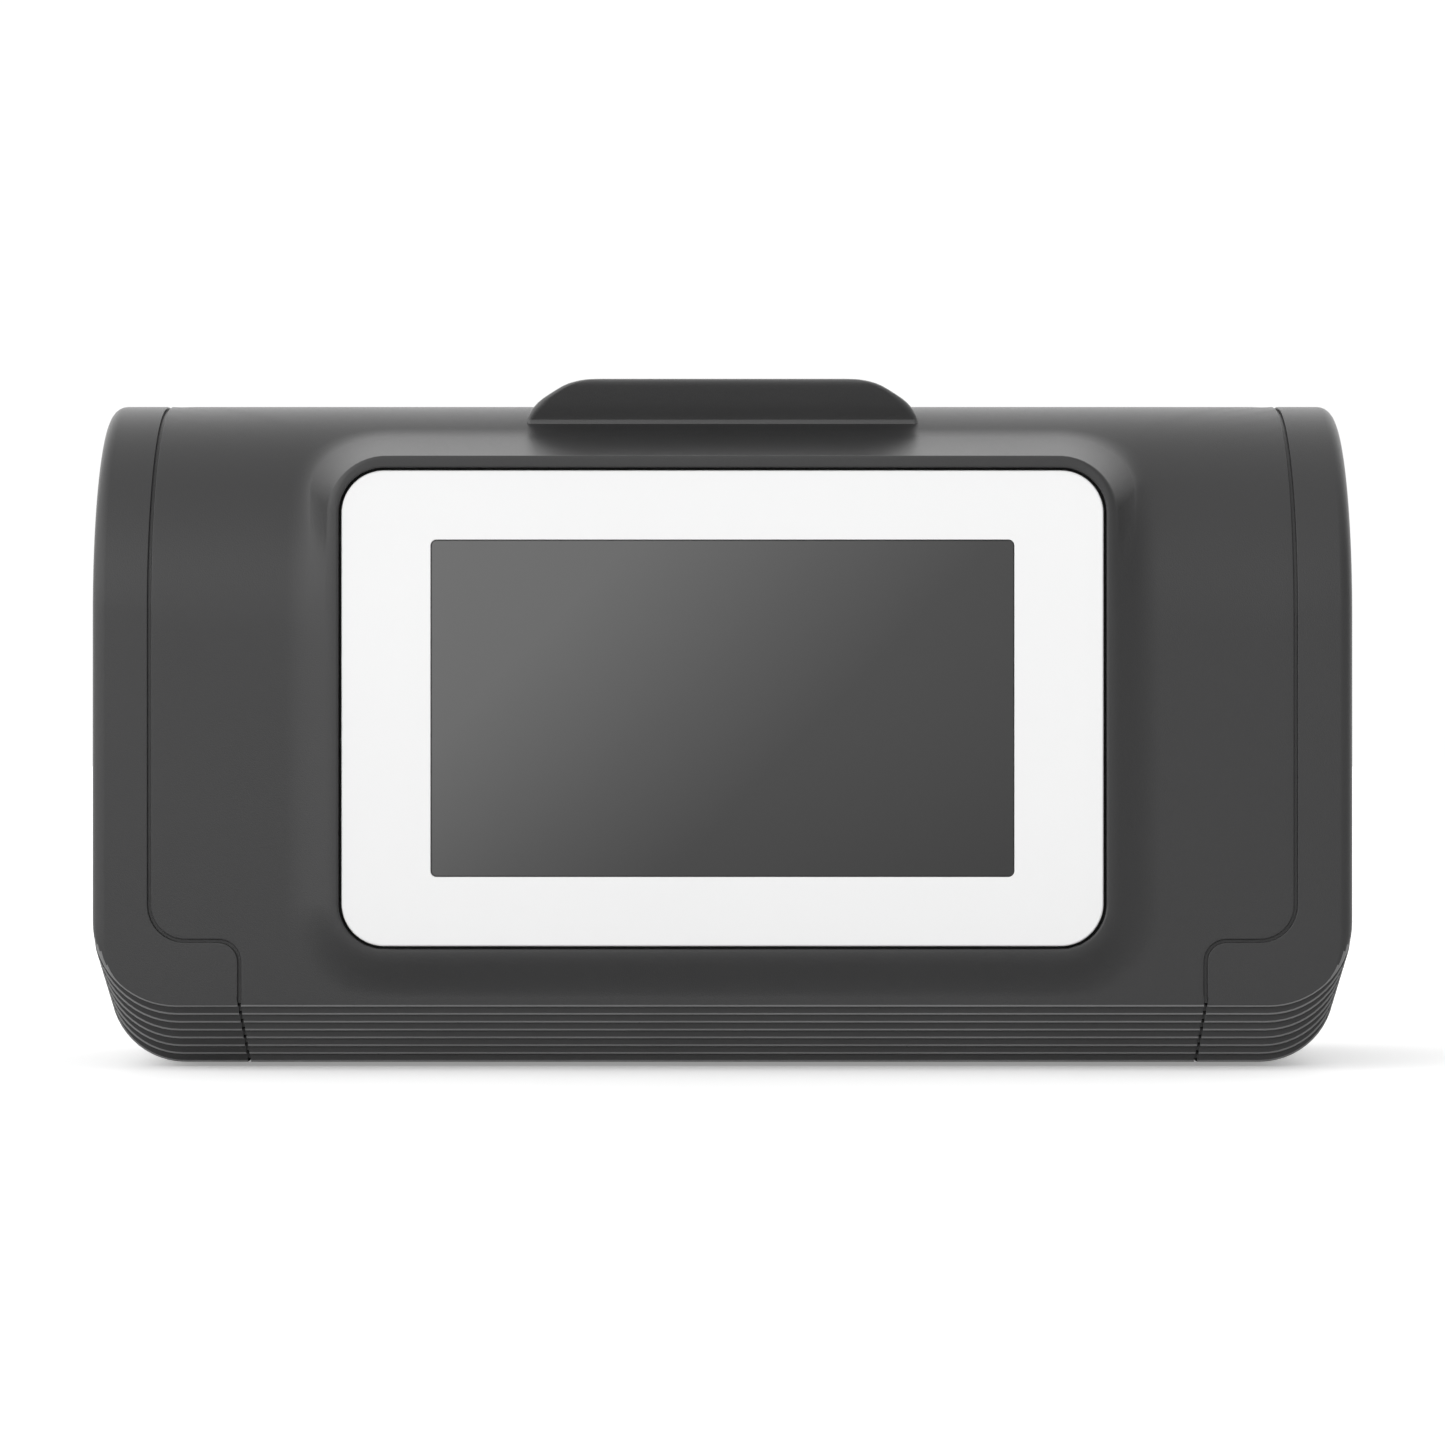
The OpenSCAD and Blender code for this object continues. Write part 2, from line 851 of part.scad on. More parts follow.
// flat aerials glued inside the rear wall
module antennas()
    color("#c9a24a")
        for (x = [-122, 122])
            box(x - 9, x + 9, wall - half_d, wall + 0.6 - half_d, 62, 106);

module io_board()
    color(board_green)
        difference() {
            box(bay_floor + 2, -116, -25.2, 25.2, io_top - io_board_h, io_top);
            for (x = io_screw_x)
                for (s = [-1, 1])
                    rod_z(1.3, 30, 50, x, s * io_screw_y);
        }

module io_screws()
    color("gray")
        for (x = io_screw_x)
            for (s = [-1, 1])
                screw_z(x, s * io_screw_y, io_top + 1.2, io_top, io_top - 6, 1.7, 1.05);

module usb_sockets()
    color("silver")
        for (y = [4, 14])
            difference() {
                box(bay_floor, -140, y, y + 9, io_top, 46.9);
                box(bay_floor - 1, -141, y + 0.4, y + 8.6, io_top + 0.4, 46.5);
            }

module ethernet_socket()
    color("silver")
        difference() {
            box(bay_floor, -127, -21, -4, io_top, 57.1);
            box(bay_floor - 1, -131, -18.6, -6.4, 45.6, 54);
        }

// flap that turns about a pin along its lower edge
module port_cover()
    color(cap_grey)
        difference() {
            union() {
                box(-half_w, -half_w + 2.2, -cover_half, cover_half, hinge_z + hinge_r + 0.4, bay_high - 0.4);
                box(-half_w, -half_w + 2.2, slack - ear_inner, ear_inner - slack, hinge_z,
                    hinge_z + hinge_r + 1);
                rod_y(hinge_r, slack - ear_inner, ear_inner - slack, hinge_x, hinge_z);
            }
            rod_y(pin_r + 0.05, -30, 30, hinge_x, hinge_z);
            box(-half_w - 1, -half_w + 0.8, -6, 6, bay_high - 2.6, bay_high);
        }

module port_cover_pin()
    color("silver")
        rod_y(pin_r, -cover_half, cover_half, hinge_x, hinge_z);

// soft bead inside the flap that keeps dust out of the bay
module port_seal()
    color(near_black)
        difference() {
            box(-half_w + 2.2, -half_w + 3.2, -20, 20, hinge_z + hinge_r + 2, bay_high - 2);
            box(-half_w + 2, -half_w + 4, -17.6, 17.6, hinge_z + hinge_r + 4.4, bay_high - 4.4);
        }

module power_button()
    color(near_black) {
        rod_x(button_r, half_w - 5, half_w, 0, button_z);
        rod_x(8.2, half_w - 6.2, half_w - 4.4, 0, button_z);
    }

module button_light_ring()
    color("#e8f4ff")
        difference() {
            union() {
                rod_x(ring_r, half_w - 3.6, half_w, 0, button_z);
                rod_x(10.4, half_w - 3.6, half_w - wall, 0, button_z);
            }
            rod_x(7, half_w - 8, half_w + 1, 0, button_z);
        }

module button_board()
    color(board_green)
        difference() {
            box(switch_x - 1.6, switch_x, -17.5, 17.5, button_z - 7, button_z + 7);
            for (s = [-1, 1])
                rod_x(1.3, 140, 150, s * 14, button_z);
        }

module button_switch()
    color("#303236") {
        box(switch_x, switch_x + 2.4, -3, 3, button_z - 3, button_z + 3);
        rod_x(1.5, switch_x + 2.3, half_w - 7.4, 0, button_z);
    }

module tripod_insert()
    color("#b8963e")
        difference() {
            rod_z(6, floor_gap, 10.2, 0, 0);
            rod_z(2.6, 0, 20, 0, 0);
        }

module foot_inserts()
    color("#b8963e")
        for (x = [-foot_x, foot_x])
            difference() {
                rod_z(6, 5.2, 14, x, foot_y);
                rod_z(stud_r + 0.06, 0, 20, x, foot_y);
            }

module rear_feet()
    color(near_black)
        for (x = [-foot_x, foot_x])
            rod_z(7, 0, floor_gap + 0.8, x, -foot_y);

module foot_pad(x)
    color(near_black)
        difference() {
            rod_z(pad_r, 0, 2.2, x, foot_y);
            rod_z(2.06, 1, 3, x, foot_y);
        }

module left_foot_pad()
    foot_pad(-foot_x);

module right_foot_pad()
    foot_pad(foot_x);

// threaded stud with a finger wheel, turning on the pad's socket
module foot_screw(x)
    color("silver") {
        rod_z(8.4, 2.3, 4.6, x, foot_y);
        rod_z(2, 1.2, 2.4, x, foot_y);
        rod_z(stud_r, 4.5, 17, x, foot_y);
    }

module left_foot_screw()
    foot_screw(-foot_x);

module right_foot_screw()
    foot_screw(foot_x);

module base_screws()
    color("gray")
        for (x = [-base_screw_x, 0, base_screw_x])
            for (s = [-1, 1])
                screw_z(x, s * base_screw_y, floor_gap, floor_gap + 1.1, 9, 2.9, 1.4);

module grip_screws()
    color("gray")
        for (sx = [-1, 1])
            for (sy = [-1, 1])
                screw_z(sx * grip_screw_x, sy * grip_screw_y, 161, 162.6, 170, 3, 1.4);

module cap_screws()
    color("gray")
        for (sx = [-1, 1])
            for (sy = [-1, 1])
                screw_z(sx * cap_screw_x, sy * cap_screw_y, floor_gap, floor_gap + 1.2, 11, 2.9, 1.4);

rear_shell();
front_shell();
left_end_cap();
right_end_cap();
base_plate();
carry_grip();
display_gasket();
display_bezel();
screen_glass();
display_panel();
display_backplate();
display_screws();
display_board();
display_flex();
window_gasket();
front_window();
optical_bench();
bench_screws();
left_camera_housing();
right_camera_housing();
left_sensor_board();
right_sensor_board();
left_lens_barrel();
right_lens_barrel();
left_lens_glass();
right_lens_glass();
infrared_board();
infrared_emitters();
tilt_sensor_board();
board_standoffs();
main_board();
board_components();
heat_sink();
board_screws();
battery_pack();
battery_bracket();
bracket_screws();
antennas();
io_board();
io_screws();
usb_sockets();
ethernet_socket();
port_cover();
port_cover_pin();
port_seal();
power_button();
button_light_ring();
button_board();
button_switch();
tripod_insert();
foot_inserts();
rear_feet();
left_foot_pad();
right_foot_pad();
left_foot_screw();
right_foot_screw();
base_screws();
grip_screws();
cap_screws();
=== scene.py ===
import bpy
import json
import math
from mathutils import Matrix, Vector


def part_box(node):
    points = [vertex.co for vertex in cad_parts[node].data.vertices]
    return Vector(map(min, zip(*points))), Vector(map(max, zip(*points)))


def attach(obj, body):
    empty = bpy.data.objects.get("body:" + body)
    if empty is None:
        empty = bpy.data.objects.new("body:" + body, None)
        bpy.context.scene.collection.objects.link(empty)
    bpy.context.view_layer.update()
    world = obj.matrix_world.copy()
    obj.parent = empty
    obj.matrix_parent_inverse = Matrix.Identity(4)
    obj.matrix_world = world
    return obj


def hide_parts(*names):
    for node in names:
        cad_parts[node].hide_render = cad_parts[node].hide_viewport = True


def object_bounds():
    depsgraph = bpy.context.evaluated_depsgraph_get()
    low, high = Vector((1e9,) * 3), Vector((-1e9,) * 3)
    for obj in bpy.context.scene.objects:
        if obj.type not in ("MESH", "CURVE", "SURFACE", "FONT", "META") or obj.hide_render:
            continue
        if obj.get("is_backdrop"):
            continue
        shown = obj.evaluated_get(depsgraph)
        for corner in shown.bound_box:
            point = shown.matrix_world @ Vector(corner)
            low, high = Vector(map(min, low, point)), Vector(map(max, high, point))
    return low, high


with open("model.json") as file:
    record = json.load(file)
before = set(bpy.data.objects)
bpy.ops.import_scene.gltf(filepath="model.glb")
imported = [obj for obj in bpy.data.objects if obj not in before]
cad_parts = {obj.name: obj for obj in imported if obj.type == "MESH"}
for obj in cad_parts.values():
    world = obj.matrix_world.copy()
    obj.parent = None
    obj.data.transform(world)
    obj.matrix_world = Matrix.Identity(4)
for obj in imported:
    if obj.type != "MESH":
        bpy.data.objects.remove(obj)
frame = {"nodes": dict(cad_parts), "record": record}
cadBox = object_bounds()
nodes = frame["nodes"]
mm = 0.001
print("frame loaded:", len(nodes), "nodes")


def deselectAll():
    bpy.ops.object.select_all(action="DESELECT")


def makeActive(piece):
    deselectAll()
    piece.select_set(True)
    bpy.context.view_layer.objects.active = piece


def applyModifier(piece, kind, **settings):
    makeActive(piece)
    modifier = piece.modifiers.new(kind.title(), kind)
    for key, value in settings.items():
        setattr(modifier, key, value)
    bpy.ops.object.modifier_apply(modifier=modifier.name)


def editMesh(piece, *steps):
    makeActive(piece)
    bpy.ops.object.mode_set(mode="EDIT")
    bpy.ops.mesh.select_all(action="SELECT")
    for step in steps:
        step()
    bpy.ops.object.mode_set(mode="OBJECT")


def smoothByAngle(piece, degrees=35):
    makeActive(piece)
    bpy.ops.object.shade_smooth_by_angle(angle=math.radians(degrees))
    applyModifier(piece, "WEIGHTED_NORMAL", keep_sharp=True)


# a grid primitive whose rows are laid on the given rings of points; rows wrap round
def ringPiece(name, rings, capEnds=False, closeTube=False, angle=35):
    columns = len(rings[0])
    deselectAll()
    bpy.ops.mesh.primitive_grid_add(x_subdivisions=columns, y_subdivisions=len(rings) - 1 + closeTube)
    piece = bpy.context.active_object
    piece.name = name
    rows = rings + [rings[0]] if closeTube else rings
    points = [row[i % columns] for row in rows for i in range(columns + 1)]
    assert len(points) == len(piece.data.vertices), (len(points), len(piece.data.vertices))
    for vertex, point in zip(piece.data.vertices, points):
        vertex.co = Vector(point) * mm
    editMesh(piece, lambda: bpy.ops.mesh.remove_doubles(threshold=0.000002))
    if capEnds:
        editMesh(piece, lambda: bpy.ops.mesh.select_all(action="DESELECT"),
                 lambda: bpy.ops.mesh.select_non_manifold(),
                 lambda: bpy.ops.mesh.edge_face_add())
    editMesh(piece, lambda: bpy.ops.mesh.normals_make_consistent(inside=False))
    smoothByAngle(piece, angle)
    return piece


# points round a rounded rectangle, from the lower right corner upwards and round to the left
def roundedLoop(width, height, radius, middle=0.0, side=24, top=40, corner=24):
    w, h, r = width / 2, height / 2, max(radius, 0.01)
    loop = []
    for i in range(side):
        loop.append((w, -h + r + (2 * h - 2 * r) * i / side))
    centres = ((w - r, h - r, 0), (-w + r, h - r, 90), (-w + r, -h + r, 180), (w - r, -h + r, 270))
    for cx, cz, start in centres:
        for i in range(corner):
            a = math.radians(start + 90 * i / corner)
            loop.append((cx + r * math.cos(a), cz + r * math.sin(a)))
        if start == 0:
            for i in range(top):
                loop.append((w - r - (2 * w - 2 * r) * i / top, h))
        elif start == 90:
            for i in range(side):
                loop.append((-w, h - r - (2 * h - 2 * r) * i / side))
        elif start == 180:
            for i in range(top):
                loop.append((-w + r + (2 * w - 2 * r) * i / top, -h))
    return [(x, z + middle) for x, z in loop]


def joinPieces(name, pieces):
    deselectAll()
    for piece in pieces:
        piece.select_set(True)
    bpy.context.view_layer.objects.active = pieces[0]
    bpy.ops.object.join()
    pieces[0].name = name
    return pieces[0]


texture = {"cloudScale": 22.0, "cloudDetail": 5.0, "rampLow": 0.3, "rampHigh": 0.7, "grainDetail": 3.0,
           "smoothest": 0.02, "bumpDistance": 0.0004}


# plastic, metal or glass with a faint cloudy tone, a fine grain in its gloss, and a grain in its relief
def newMaterial(name, color, roughness, metallic=0.0, grainScale=900.0, grainDepth=0.04, mottle=0.06,
                roughSpread=0.06, coat=0.0, specular=0.5, alpha=1.0, transmission=0.0, ior=1.5):
    material = bpy.data.materials.new(name)
    material.use_nodes = True
    tree = material.node_tree
    shader = tree.nodes["Principled BSDF"]
    shader.inputs["Metallic"].default_value = metallic
    shader.inputs["Coat Weight"].default_value = coat
    shader.inputs["Specular IOR Level"].default_value = specular
    shader.inputs["Alpha"].default_value = alpha
    shader.inputs["Transmission Weight"].default_value = transmission
    shader.inputs["IOR"].default_value = ior
    place = tree.nodes.new("ShaderNodeTexCoord")
    cloud = tree.nodes.new("ShaderNodeTexNoise")
    cloud.inputs["Scale"].default_value = texture["cloudScale"]
    cloud.inputs["Detail"].default_value = texture["cloudDetail"]
    tree.links.new(place.outputs["Object"], cloud.inputs["Vector"])
    ramp = tree.nodes.new("ShaderNodeValToRGB")
    ramp.color_ramp.elements[0].position = texture["rampLow"]
    ramp.color_ramp.elements[1].position = texture["rampHigh"]
    ramp.color_ramp.elements[0].color = [c * (1 - mottle) for c in color] + [1]
    ramp.color_ramp.elements[1].color = [min(1, c * (1 + mottle)) for c in color] + [1]
    tree.links.new(cloud.outputs["Fac"], ramp.inputs["Fac"])
    tree.links.new(ramp.outputs["Color"], shader.inputs["Base Color"])
    grain = tree.nodes.new("ShaderNodeTexNoise")
    grain.inputs["Scale"].default_value = grainScale
    grain.inputs["Detail"].default_value = texture["grainDetail"]
    tree.links.new(place.outputs["Object"], grain.inputs["Vector"])
    spread = tree.nodes.new("ShaderNodeMapRange")
    spread.inputs["To Min"].default_value = max(texture["smoothest"], roughness - roughSpread)
    spread.inputs["To Max"].default_value = min(1.0, roughness + roughSpread)
    tree.links.new(grain.outputs["Fac"], spread.inputs["Value"])
    tree.links.new(spread.outputs["Result"], shader.inputs["Roughness"])
    if grainDepth > 0:
        bump = tree.nodes.new("ShaderNodeBump")
        bump.inputs["Strength"].default_value = grainDepth
        bump.inputs["Distance"].default_value = texture["bumpDistance"]
        tree.links.new(grain.outputs["Fac"], bump.inputs["Height"])
        tree.links.new(bump.outputs["Normal"], shader.inputs["Normal"])
    return material


finishes = {
    "shell_charcoal": dict(color=(0.031, 0.031, 0.0315), roughness=0.34, grainScale=3200, grainDepth=0.16,
                           mottle=0.03),
    "cap_charcoal": dict(color=(0.032, 0.032, 0.0325), roughness=0.34, grainScale=3200, grainDepth=0.16,
                         mottle=0.03),
    "base_black": dict(color=(0.028, 0.028, 0.029), roughness=0.55, grainScale=1400, grainDepth=0.3),
    "grip_charcoal": dict(color=(0.074, 0.074, 0.0745), roughness=0.36, grainScale=2800, grainDepth=0.2,
                          mottle=0.03),
    "gasket_black": dict(color=(0.008, 0.008, 0.008), roughness=0.7, grainScale=900),
    "bezel_white": dict(color=(0.95, 0.95, 0.95), roughness=0.25, grainScale=2600, grainDepth=0.01,
                        mottle=0.004, roughSpread=0.02),
    "screen_glass": dict(color=(0.09, 0.09, 0.092), roughness=0.14, grainScale=2500, grainDepth=0.0,
                         roughSpread=0.02),
    "panel_dark": dict(color=(0.02, 0.021, 0.025), roughness=0.5),
    "sheet_steel": dict(color=(0.55, 0.56, 0.57), roughness=0.35, metallic=1.0, grainScale=300),
    "screw_steel": dict(color=(0.42, 0.43, 0.44), roughness=0.3, metallic=1.0, grainScale=500),
    "board_green": dict(color=(0.02, 0.13, 0.065), roughness=0.32, grainScale=240, mottle=0.5),
    "flex_amber": dict(color=(0.45, 0.18, 0.03), roughness=0.3, grainScale=400, mottle=0.2),
    "window_dark": dict(color=(0.006, 0.003, 0.004), roughness=0.04, grainScale=500, grainDepth=0.0,
                        roughSpread=0.01, alpha=0.8, specular=0.35),
    "bench_aluminium": dict(color=(0.5, 0.51, 0.53), roughness=0.3, metallic=1.0, grainScale=260),
    "camera_black": dict(color=(0.035, 0.036, 0.04), roughness=0.4, metallic=0.6, grainScale=700),
    "lens_glass": dict(color=(0.3, 0.36, 0.6), roughness=0.04, grainDepth=0.0, roughSpread=0.01, alpha=0.5),
    "emitter_clear": dict(color=(0.75, 0.78, 0.86), roughness=0.1, grainDepth=0.0, alpha=0.7),
    "brass": dict(color=(0.62, 0.46, 0.2), roughness=0.28, metallic=1.0, grainScale=500),
    "chip_black": dict(color=(0.02, 0.021, 0.023), roughness=0.5, grainScale=1200),
    "battery_blue": dict(color=(0.03, 0.09, 0.28), roughness=0.28, grainScale=120, mottle=0.15),
    "socket_steel": dict(color=(0.6, 0.61, 0.62), roughness=0.25, metallic=1.0, grainScale=400),
    "button_black": dict(color=(0.018, 0.018, 0.019), roughness=0.4, grainScale=1500, grainDepth=0.1),
    "ring_clear": dict(color=(0.6, 0.68, 0.72), roughness=0.35, grainScale=900),
    "foot_rubber": dict(color=(0.016, 0.016, 0.016), roughness=0.75, grainScale=700, grainDepth=0.3),
    "foot_steel": dict(color=(0.5, 0.51, 0.52), roughness=0.3, metallic=1.0, grainScale=500),
}
materials = {slot: newMaterial(slot, **finish) for slot, finish in finishes.items()}


# painted reflection on the screen: a grey that falls off diagonally from its upper left, standing in for the
# glare of light on the glass
paintedGlare = {"centreZ": 0.0896, "slope": -0.98, "reach": 0.112,
           "stops": ((0.0, 0.122), (0.22, 0.112), (0.45, 0.066), (0.62, 0.038), (1.0, 0.026))}


def paintScreenGlare(material):
    tree = material.node_tree
    shader = tree.nodes["Principled BSDF"]
    place = tree.nodes.new("ShaderNodeTexCoord")
    shift = tree.nodes.new("ShaderNodeMapping")
    shift.inputs["Location"].default_value = (0.0, 0.0, -paintedGlare["centreZ"])
    tree.links.new(place.outputs["Object"], shift.inputs["Vector"])
    along = tree.nodes.new("ShaderNodeVectorMath")
    along.operation = "DOT_PRODUCT"
    along.inputs[1].default_value = (1.0, 0.0, paintedGlare["slope"])
    tree.links.new(shift.outputs["Vector"], along.inputs[0])
    span = tree.nodes.new("ShaderNodeMapRange")
    span.inputs["From Min"].default_value = -paintedGlare["reach"]
    span.inputs["From Max"].default_value = paintedGlare["reach"]
    tree.links.new(along.outputs["Value"], span.inputs["Value"])
    ramp = tree.nodes.new("ShaderNodeValToRGB")
    while len(ramp.color_ramp.elements) < len(paintedGlare["stops"]):
        ramp.color_ramp.elements.new(0.5)
    for element, (spot, grey) in zip(ramp.color_ramp.elements, paintedGlare["stops"]):
        element.position = spot
        element.color = (grey, grey, grey, 1)
    tree.links.new(span.outputs["Result"], ramp.inputs["Fac"])
    tree.links.new(ramp.outputs["Color"], shader.inputs["Base Color"])


# the screen's glass gets the painted reflection as its colour
paintScreenGlare(materials["screen_glass"])


# copper tracks and solder pads over the green of a circuit board
boardLook = {"trackScale": 160.0, "trackWidth": 0.035, "green": (0.012, 0.105, 0.05, 1),
             "paleGreen": (0.02, 0.14, 0.07, 1), "track": (0.09, 0.24, 0.1, 1), "padScale": 240.0,
             "padSize": 0.16, "pad": (0.55, 0.5, 0.38, 1)}


def boardTracks(material):
    tree = material.node_tree
    shader = tree.nodes["Principled BSDF"]
    place = tree.nodes.new("ShaderNodeTexCoord")
    tracks = tree.nodes.new("ShaderNodeTexBrick")
    tracks.inputs["Scale"].default_value = boardLook["trackScale"]
    tracks.inputs["Mortar Size"].default_value = boardLook["trackWidth"]
    tracks.inputs["Color1"].default_value = boardLook["green"]
    tracks.inputs["Color2"].default_value = boardLook["paleGreen"]
    tracks.inputs["Mortar"].default_value = boardLook["track"]
    turn = tree.nodes.new("ShaderNodeMapping")
    turn.inputs["Rotation"].default_value = (math.radians(90), 0, 0)
    tree.links.new(place.outputs["Object"], turn.inputs["Vector"])
    tree.links.new(turn.outputs["Vector"], tracks.inputs["Vector"])
    pads = tree.nodes.new("ShaderNodeTexVoronoi")
    pads.inputs["Scale"].default_value = boardLook["padScale"]
    tree.links.new(place.outputs["Object"], pads.inputs["Vector"])
    dot = tree.nodes.new("ShaderNodeMath")
    dot.operation = "LESS_THAN"
    dot.inputs[1].default_value = boardLook["padSize"]
    tree.links.new(pads.outputs["Distance"], dot.inputs[0])
    mix = tree.nodes.new("ShaderNodeMixRGB")
    mix.inputs["Color2"].default_value = boardLook["pad"]
    tree.links.new(dot.outputs["Value"], mix.inputs["Fac"])
    tree.links.new(tracks.outputs["Color"], mix.inputs["Color1"])
    tree.links.new(mix.outputs["Color"], shader.inputs["Base Color"])


# fine lines along one direction, as left by a brush or a drawing die
def brushed(material, stretch):
    tree = material.node_tree
    grain = [node for node in tree.nodes if node.type == "TEX_NOISE"][-1]
    place = [node for node in tree.nodes if node.type == "TEX_COORD"][0]
    shape = tree.nodes.new("ShaderNodeMapping")
    shape.inputs["Scale"].default_value = stretch
    tree.links.new(place.outputs["Object"], shape.inputs["Vector"])
    tree.links.new(shape.outputs["Vector"], grain.inputs["Vector"])


boardTracks(materials["board_green"])
brushed(materials["sheet_steel"], (0.05, 1.0, 4.0))
brushed(materials["bench_aluminium"], (0.04, 1.0, 5.0))
brushed(materials["socket_steel"], (3.0, 0.1, 3.0))
# painted highlight: a lighter charcoal for the step edges, standing in for the light they catch
paintedHighlight = newMaterial("edge_painted_highlight", (0.2, 0.2, 0.201), 0.3, grainScale=900, grainDepth=0.05,
                        mottle=0.12)
slotOf = {row["node"]: row["material_slot"] for row in frame["record"]["subparts"]}


def setMaterial(piece, slot):
    piece.data.materials.clear()
    piece.data.materials.append(materials[slot])


# painted highlight: narrow slanted faces along the lower edges that face down get a lighter charcoal,
# standing in for the bright lines light draws along the step edges
highlightMask = {"leastTilt": 0.2, "mostTilt": 0.99, "facing": -0.12, "largest": 0.0003, "farthestIn": 0.03}


def paintHighlight(piece, below):
    piece.data.materials.append(paintedHighlight)
    for face in piece.data.polygons:
        slanted = highlightMask["leastTilt"] < abs(face.normal.y) < highlightMask["mostTilt"]
        narrow = face.area < highlightMask["largest"] and abs(face.center.y) > highlightMask["farthestIn"]
        if slanted and narrow and face.normal.z < highlightMask["facing"] and face.center.z < below * mm:
            face.material_index = 1


for node, thing in nodes.items():
    setMaterial(thing, slotOf[node])


def dress(piece, body, slot, *replaced):
    setMaterial(piece, slot)
    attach(piece, body)
    if replaced:
        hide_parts(*replaced)


def boxMm(node):
    low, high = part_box(node)
    return [v / mm for v in low], [v / mm for v in high]


shellLow, shellHigh = boxMm("rear_shell")
capHigh = boxMm("right_end_cap")[1]
bezelLow, bezelHigh = boxMm("display_bezel")
windowLow, windowHigh = boxMm("front_window")
gripTop = boxMm("carry_grip")[1][2]

body = {
    "halfDepth": capHigh[1],
    "frameY": -shellLow[1],
    "crownRadius": 54.0,
    "floorGap": shellLow[2],
    "stepCount": 7,
    "stepRise": 2.09,
    "stepRun": 2.36,
    "seamX": shellHigh[0],
    "seamLowX": shellHigh[0] - 22.3,
    "seamZ": 32.5,
    "wall": 2.4,
    "lowEdge": 0.5,
    "stepDraw": 0.15,
    "stepEdge": 0.45,
    "seatDeep": 3.6,
    "seatEdge": 0.4,
    "seatSoft": 0.12,
    "crownEdge": 0.12,
    "seamEdge": 0.35,
    "frameWall": 2.6,
    "seamUpperR": 8.5,
    "seamLowerR": 5.6,
}
body["crownZ"] = shellHigh[2] - body["crownRadius"]
body["crownY"] = body["halfDepth"] - body["crownRadius"]
body["stepZ"] = body["floorGap"] + body["stepCount"] * body["stepRise"]
flatRun = body["crownZ"] - body["stepZ"]
arcRun = body["crownRadius"] * math.pi / 2
fullRun = flatRun + arcRun + body["crownY"]


# point of the loaf surface: x along the body, s up the rear face and over the crown, depth inwards
def loafPoint(x, s, depth=0.0):
    if s <= flatRun:
        return Vector((x, -body["halfDepth"] + depth, body["stepZ"] + s))
    if s <= flatRun + arcRun:
        a = (s - flatRun) / body["crownRadius"]
        r = body["crownRadius"] - depth
        return Vector((x, -body["crownY"] - r * math.cos(a), body["crownZ"] + r * math.sin(a)))
    return Vector((x, -body["crownY"] + s - flatRun - arcRun, body["crownZ"] + body["crownRadius"] - depth))


# how far up the surface a height z lies
def runAt(z):
    if z <= body["crownZ"]:
        return z - body["stepZ"]
    a = math.asin(min(1.0, (z - body["crownZ"]) / body["crownRadius"]))
    return flatRun + a * body["crownRadius"]


# outline of the middle shell on its unrolled surface, with the jogged seam at both ends
def shellBorder(core):
    xs, xl = body["seamX"], body["seamLowX"]
    upperR, lowerR = body["seamUpperR"], body["seamLowerR"]
    jog = body["seamZ"] - body["stepZ"]
    right = [(0.0, 0.0), (xl, 0.0), (xl, jog - lowerR)]
    for i in range(1, 9):
        a = math.radians(180 - 90 * i / 8)
        right.append((xl + lowerR * (1 + math.cos(a)), jog - lowerR * (1 - math.sin(a))))
    for i in range(11):
        a = math.radians(-90 + 90 * i / 10)
        right.append((xs - upperR * (1 - math.cos(a)), jog + upperR * (1 + math.sin(a))))
    right += [(xs, fullRun), (0.0, fullRun)]
    loop = right + [(-x, s) for x, s in reversed(right)][1:-1]
    fine = []
    for i, (x0, s0) in enumerate(loop):
        x1, s1 = loop[(i + 1) % len(loop)]
        length = math.hypot(x1 - x0, s1 - s0)
        turn = directionGap(core, (x0, s0), (x1, s1))
        pieces = max(1, math.ceil(length / 8), math.ceil(turn / math.radians(5)))
        for k in range(pieces):
            fine.append((x0 + (x1 - x0) * k / pieces, s0 + (s1 - s0) * k / pieces))
    return fine


# place on a rounded rectangle's core and the outward direction, for a point outside it
def matched(core, x, s):
    halfW, low, high = core
    cx, cs = max(-halfW, min(halfW, x)), max(low, min(high, s))
    away = math.hypot(x - cx, s - cs)
    return cx / halfW, (cs - low) / (high - low), (x - cx) / away, (s - cs) / away


def directionGap(core, first, second):
    adx, ads = matched(core, *first)[2:]
    bdx, bds = matched(core, *second)[2:]
    return abs(math.atan2(adx * bds - ads * bdx, adx * bdx + ads * bds))


def curveThrough(start, corner, end, count):
    points = []
    for i in range(count + 1):
        t = i / count
        points.append(start * (1 - t) ** 2 + corner * 2 * t * (1 - t) + end * t ** 2)
    return points


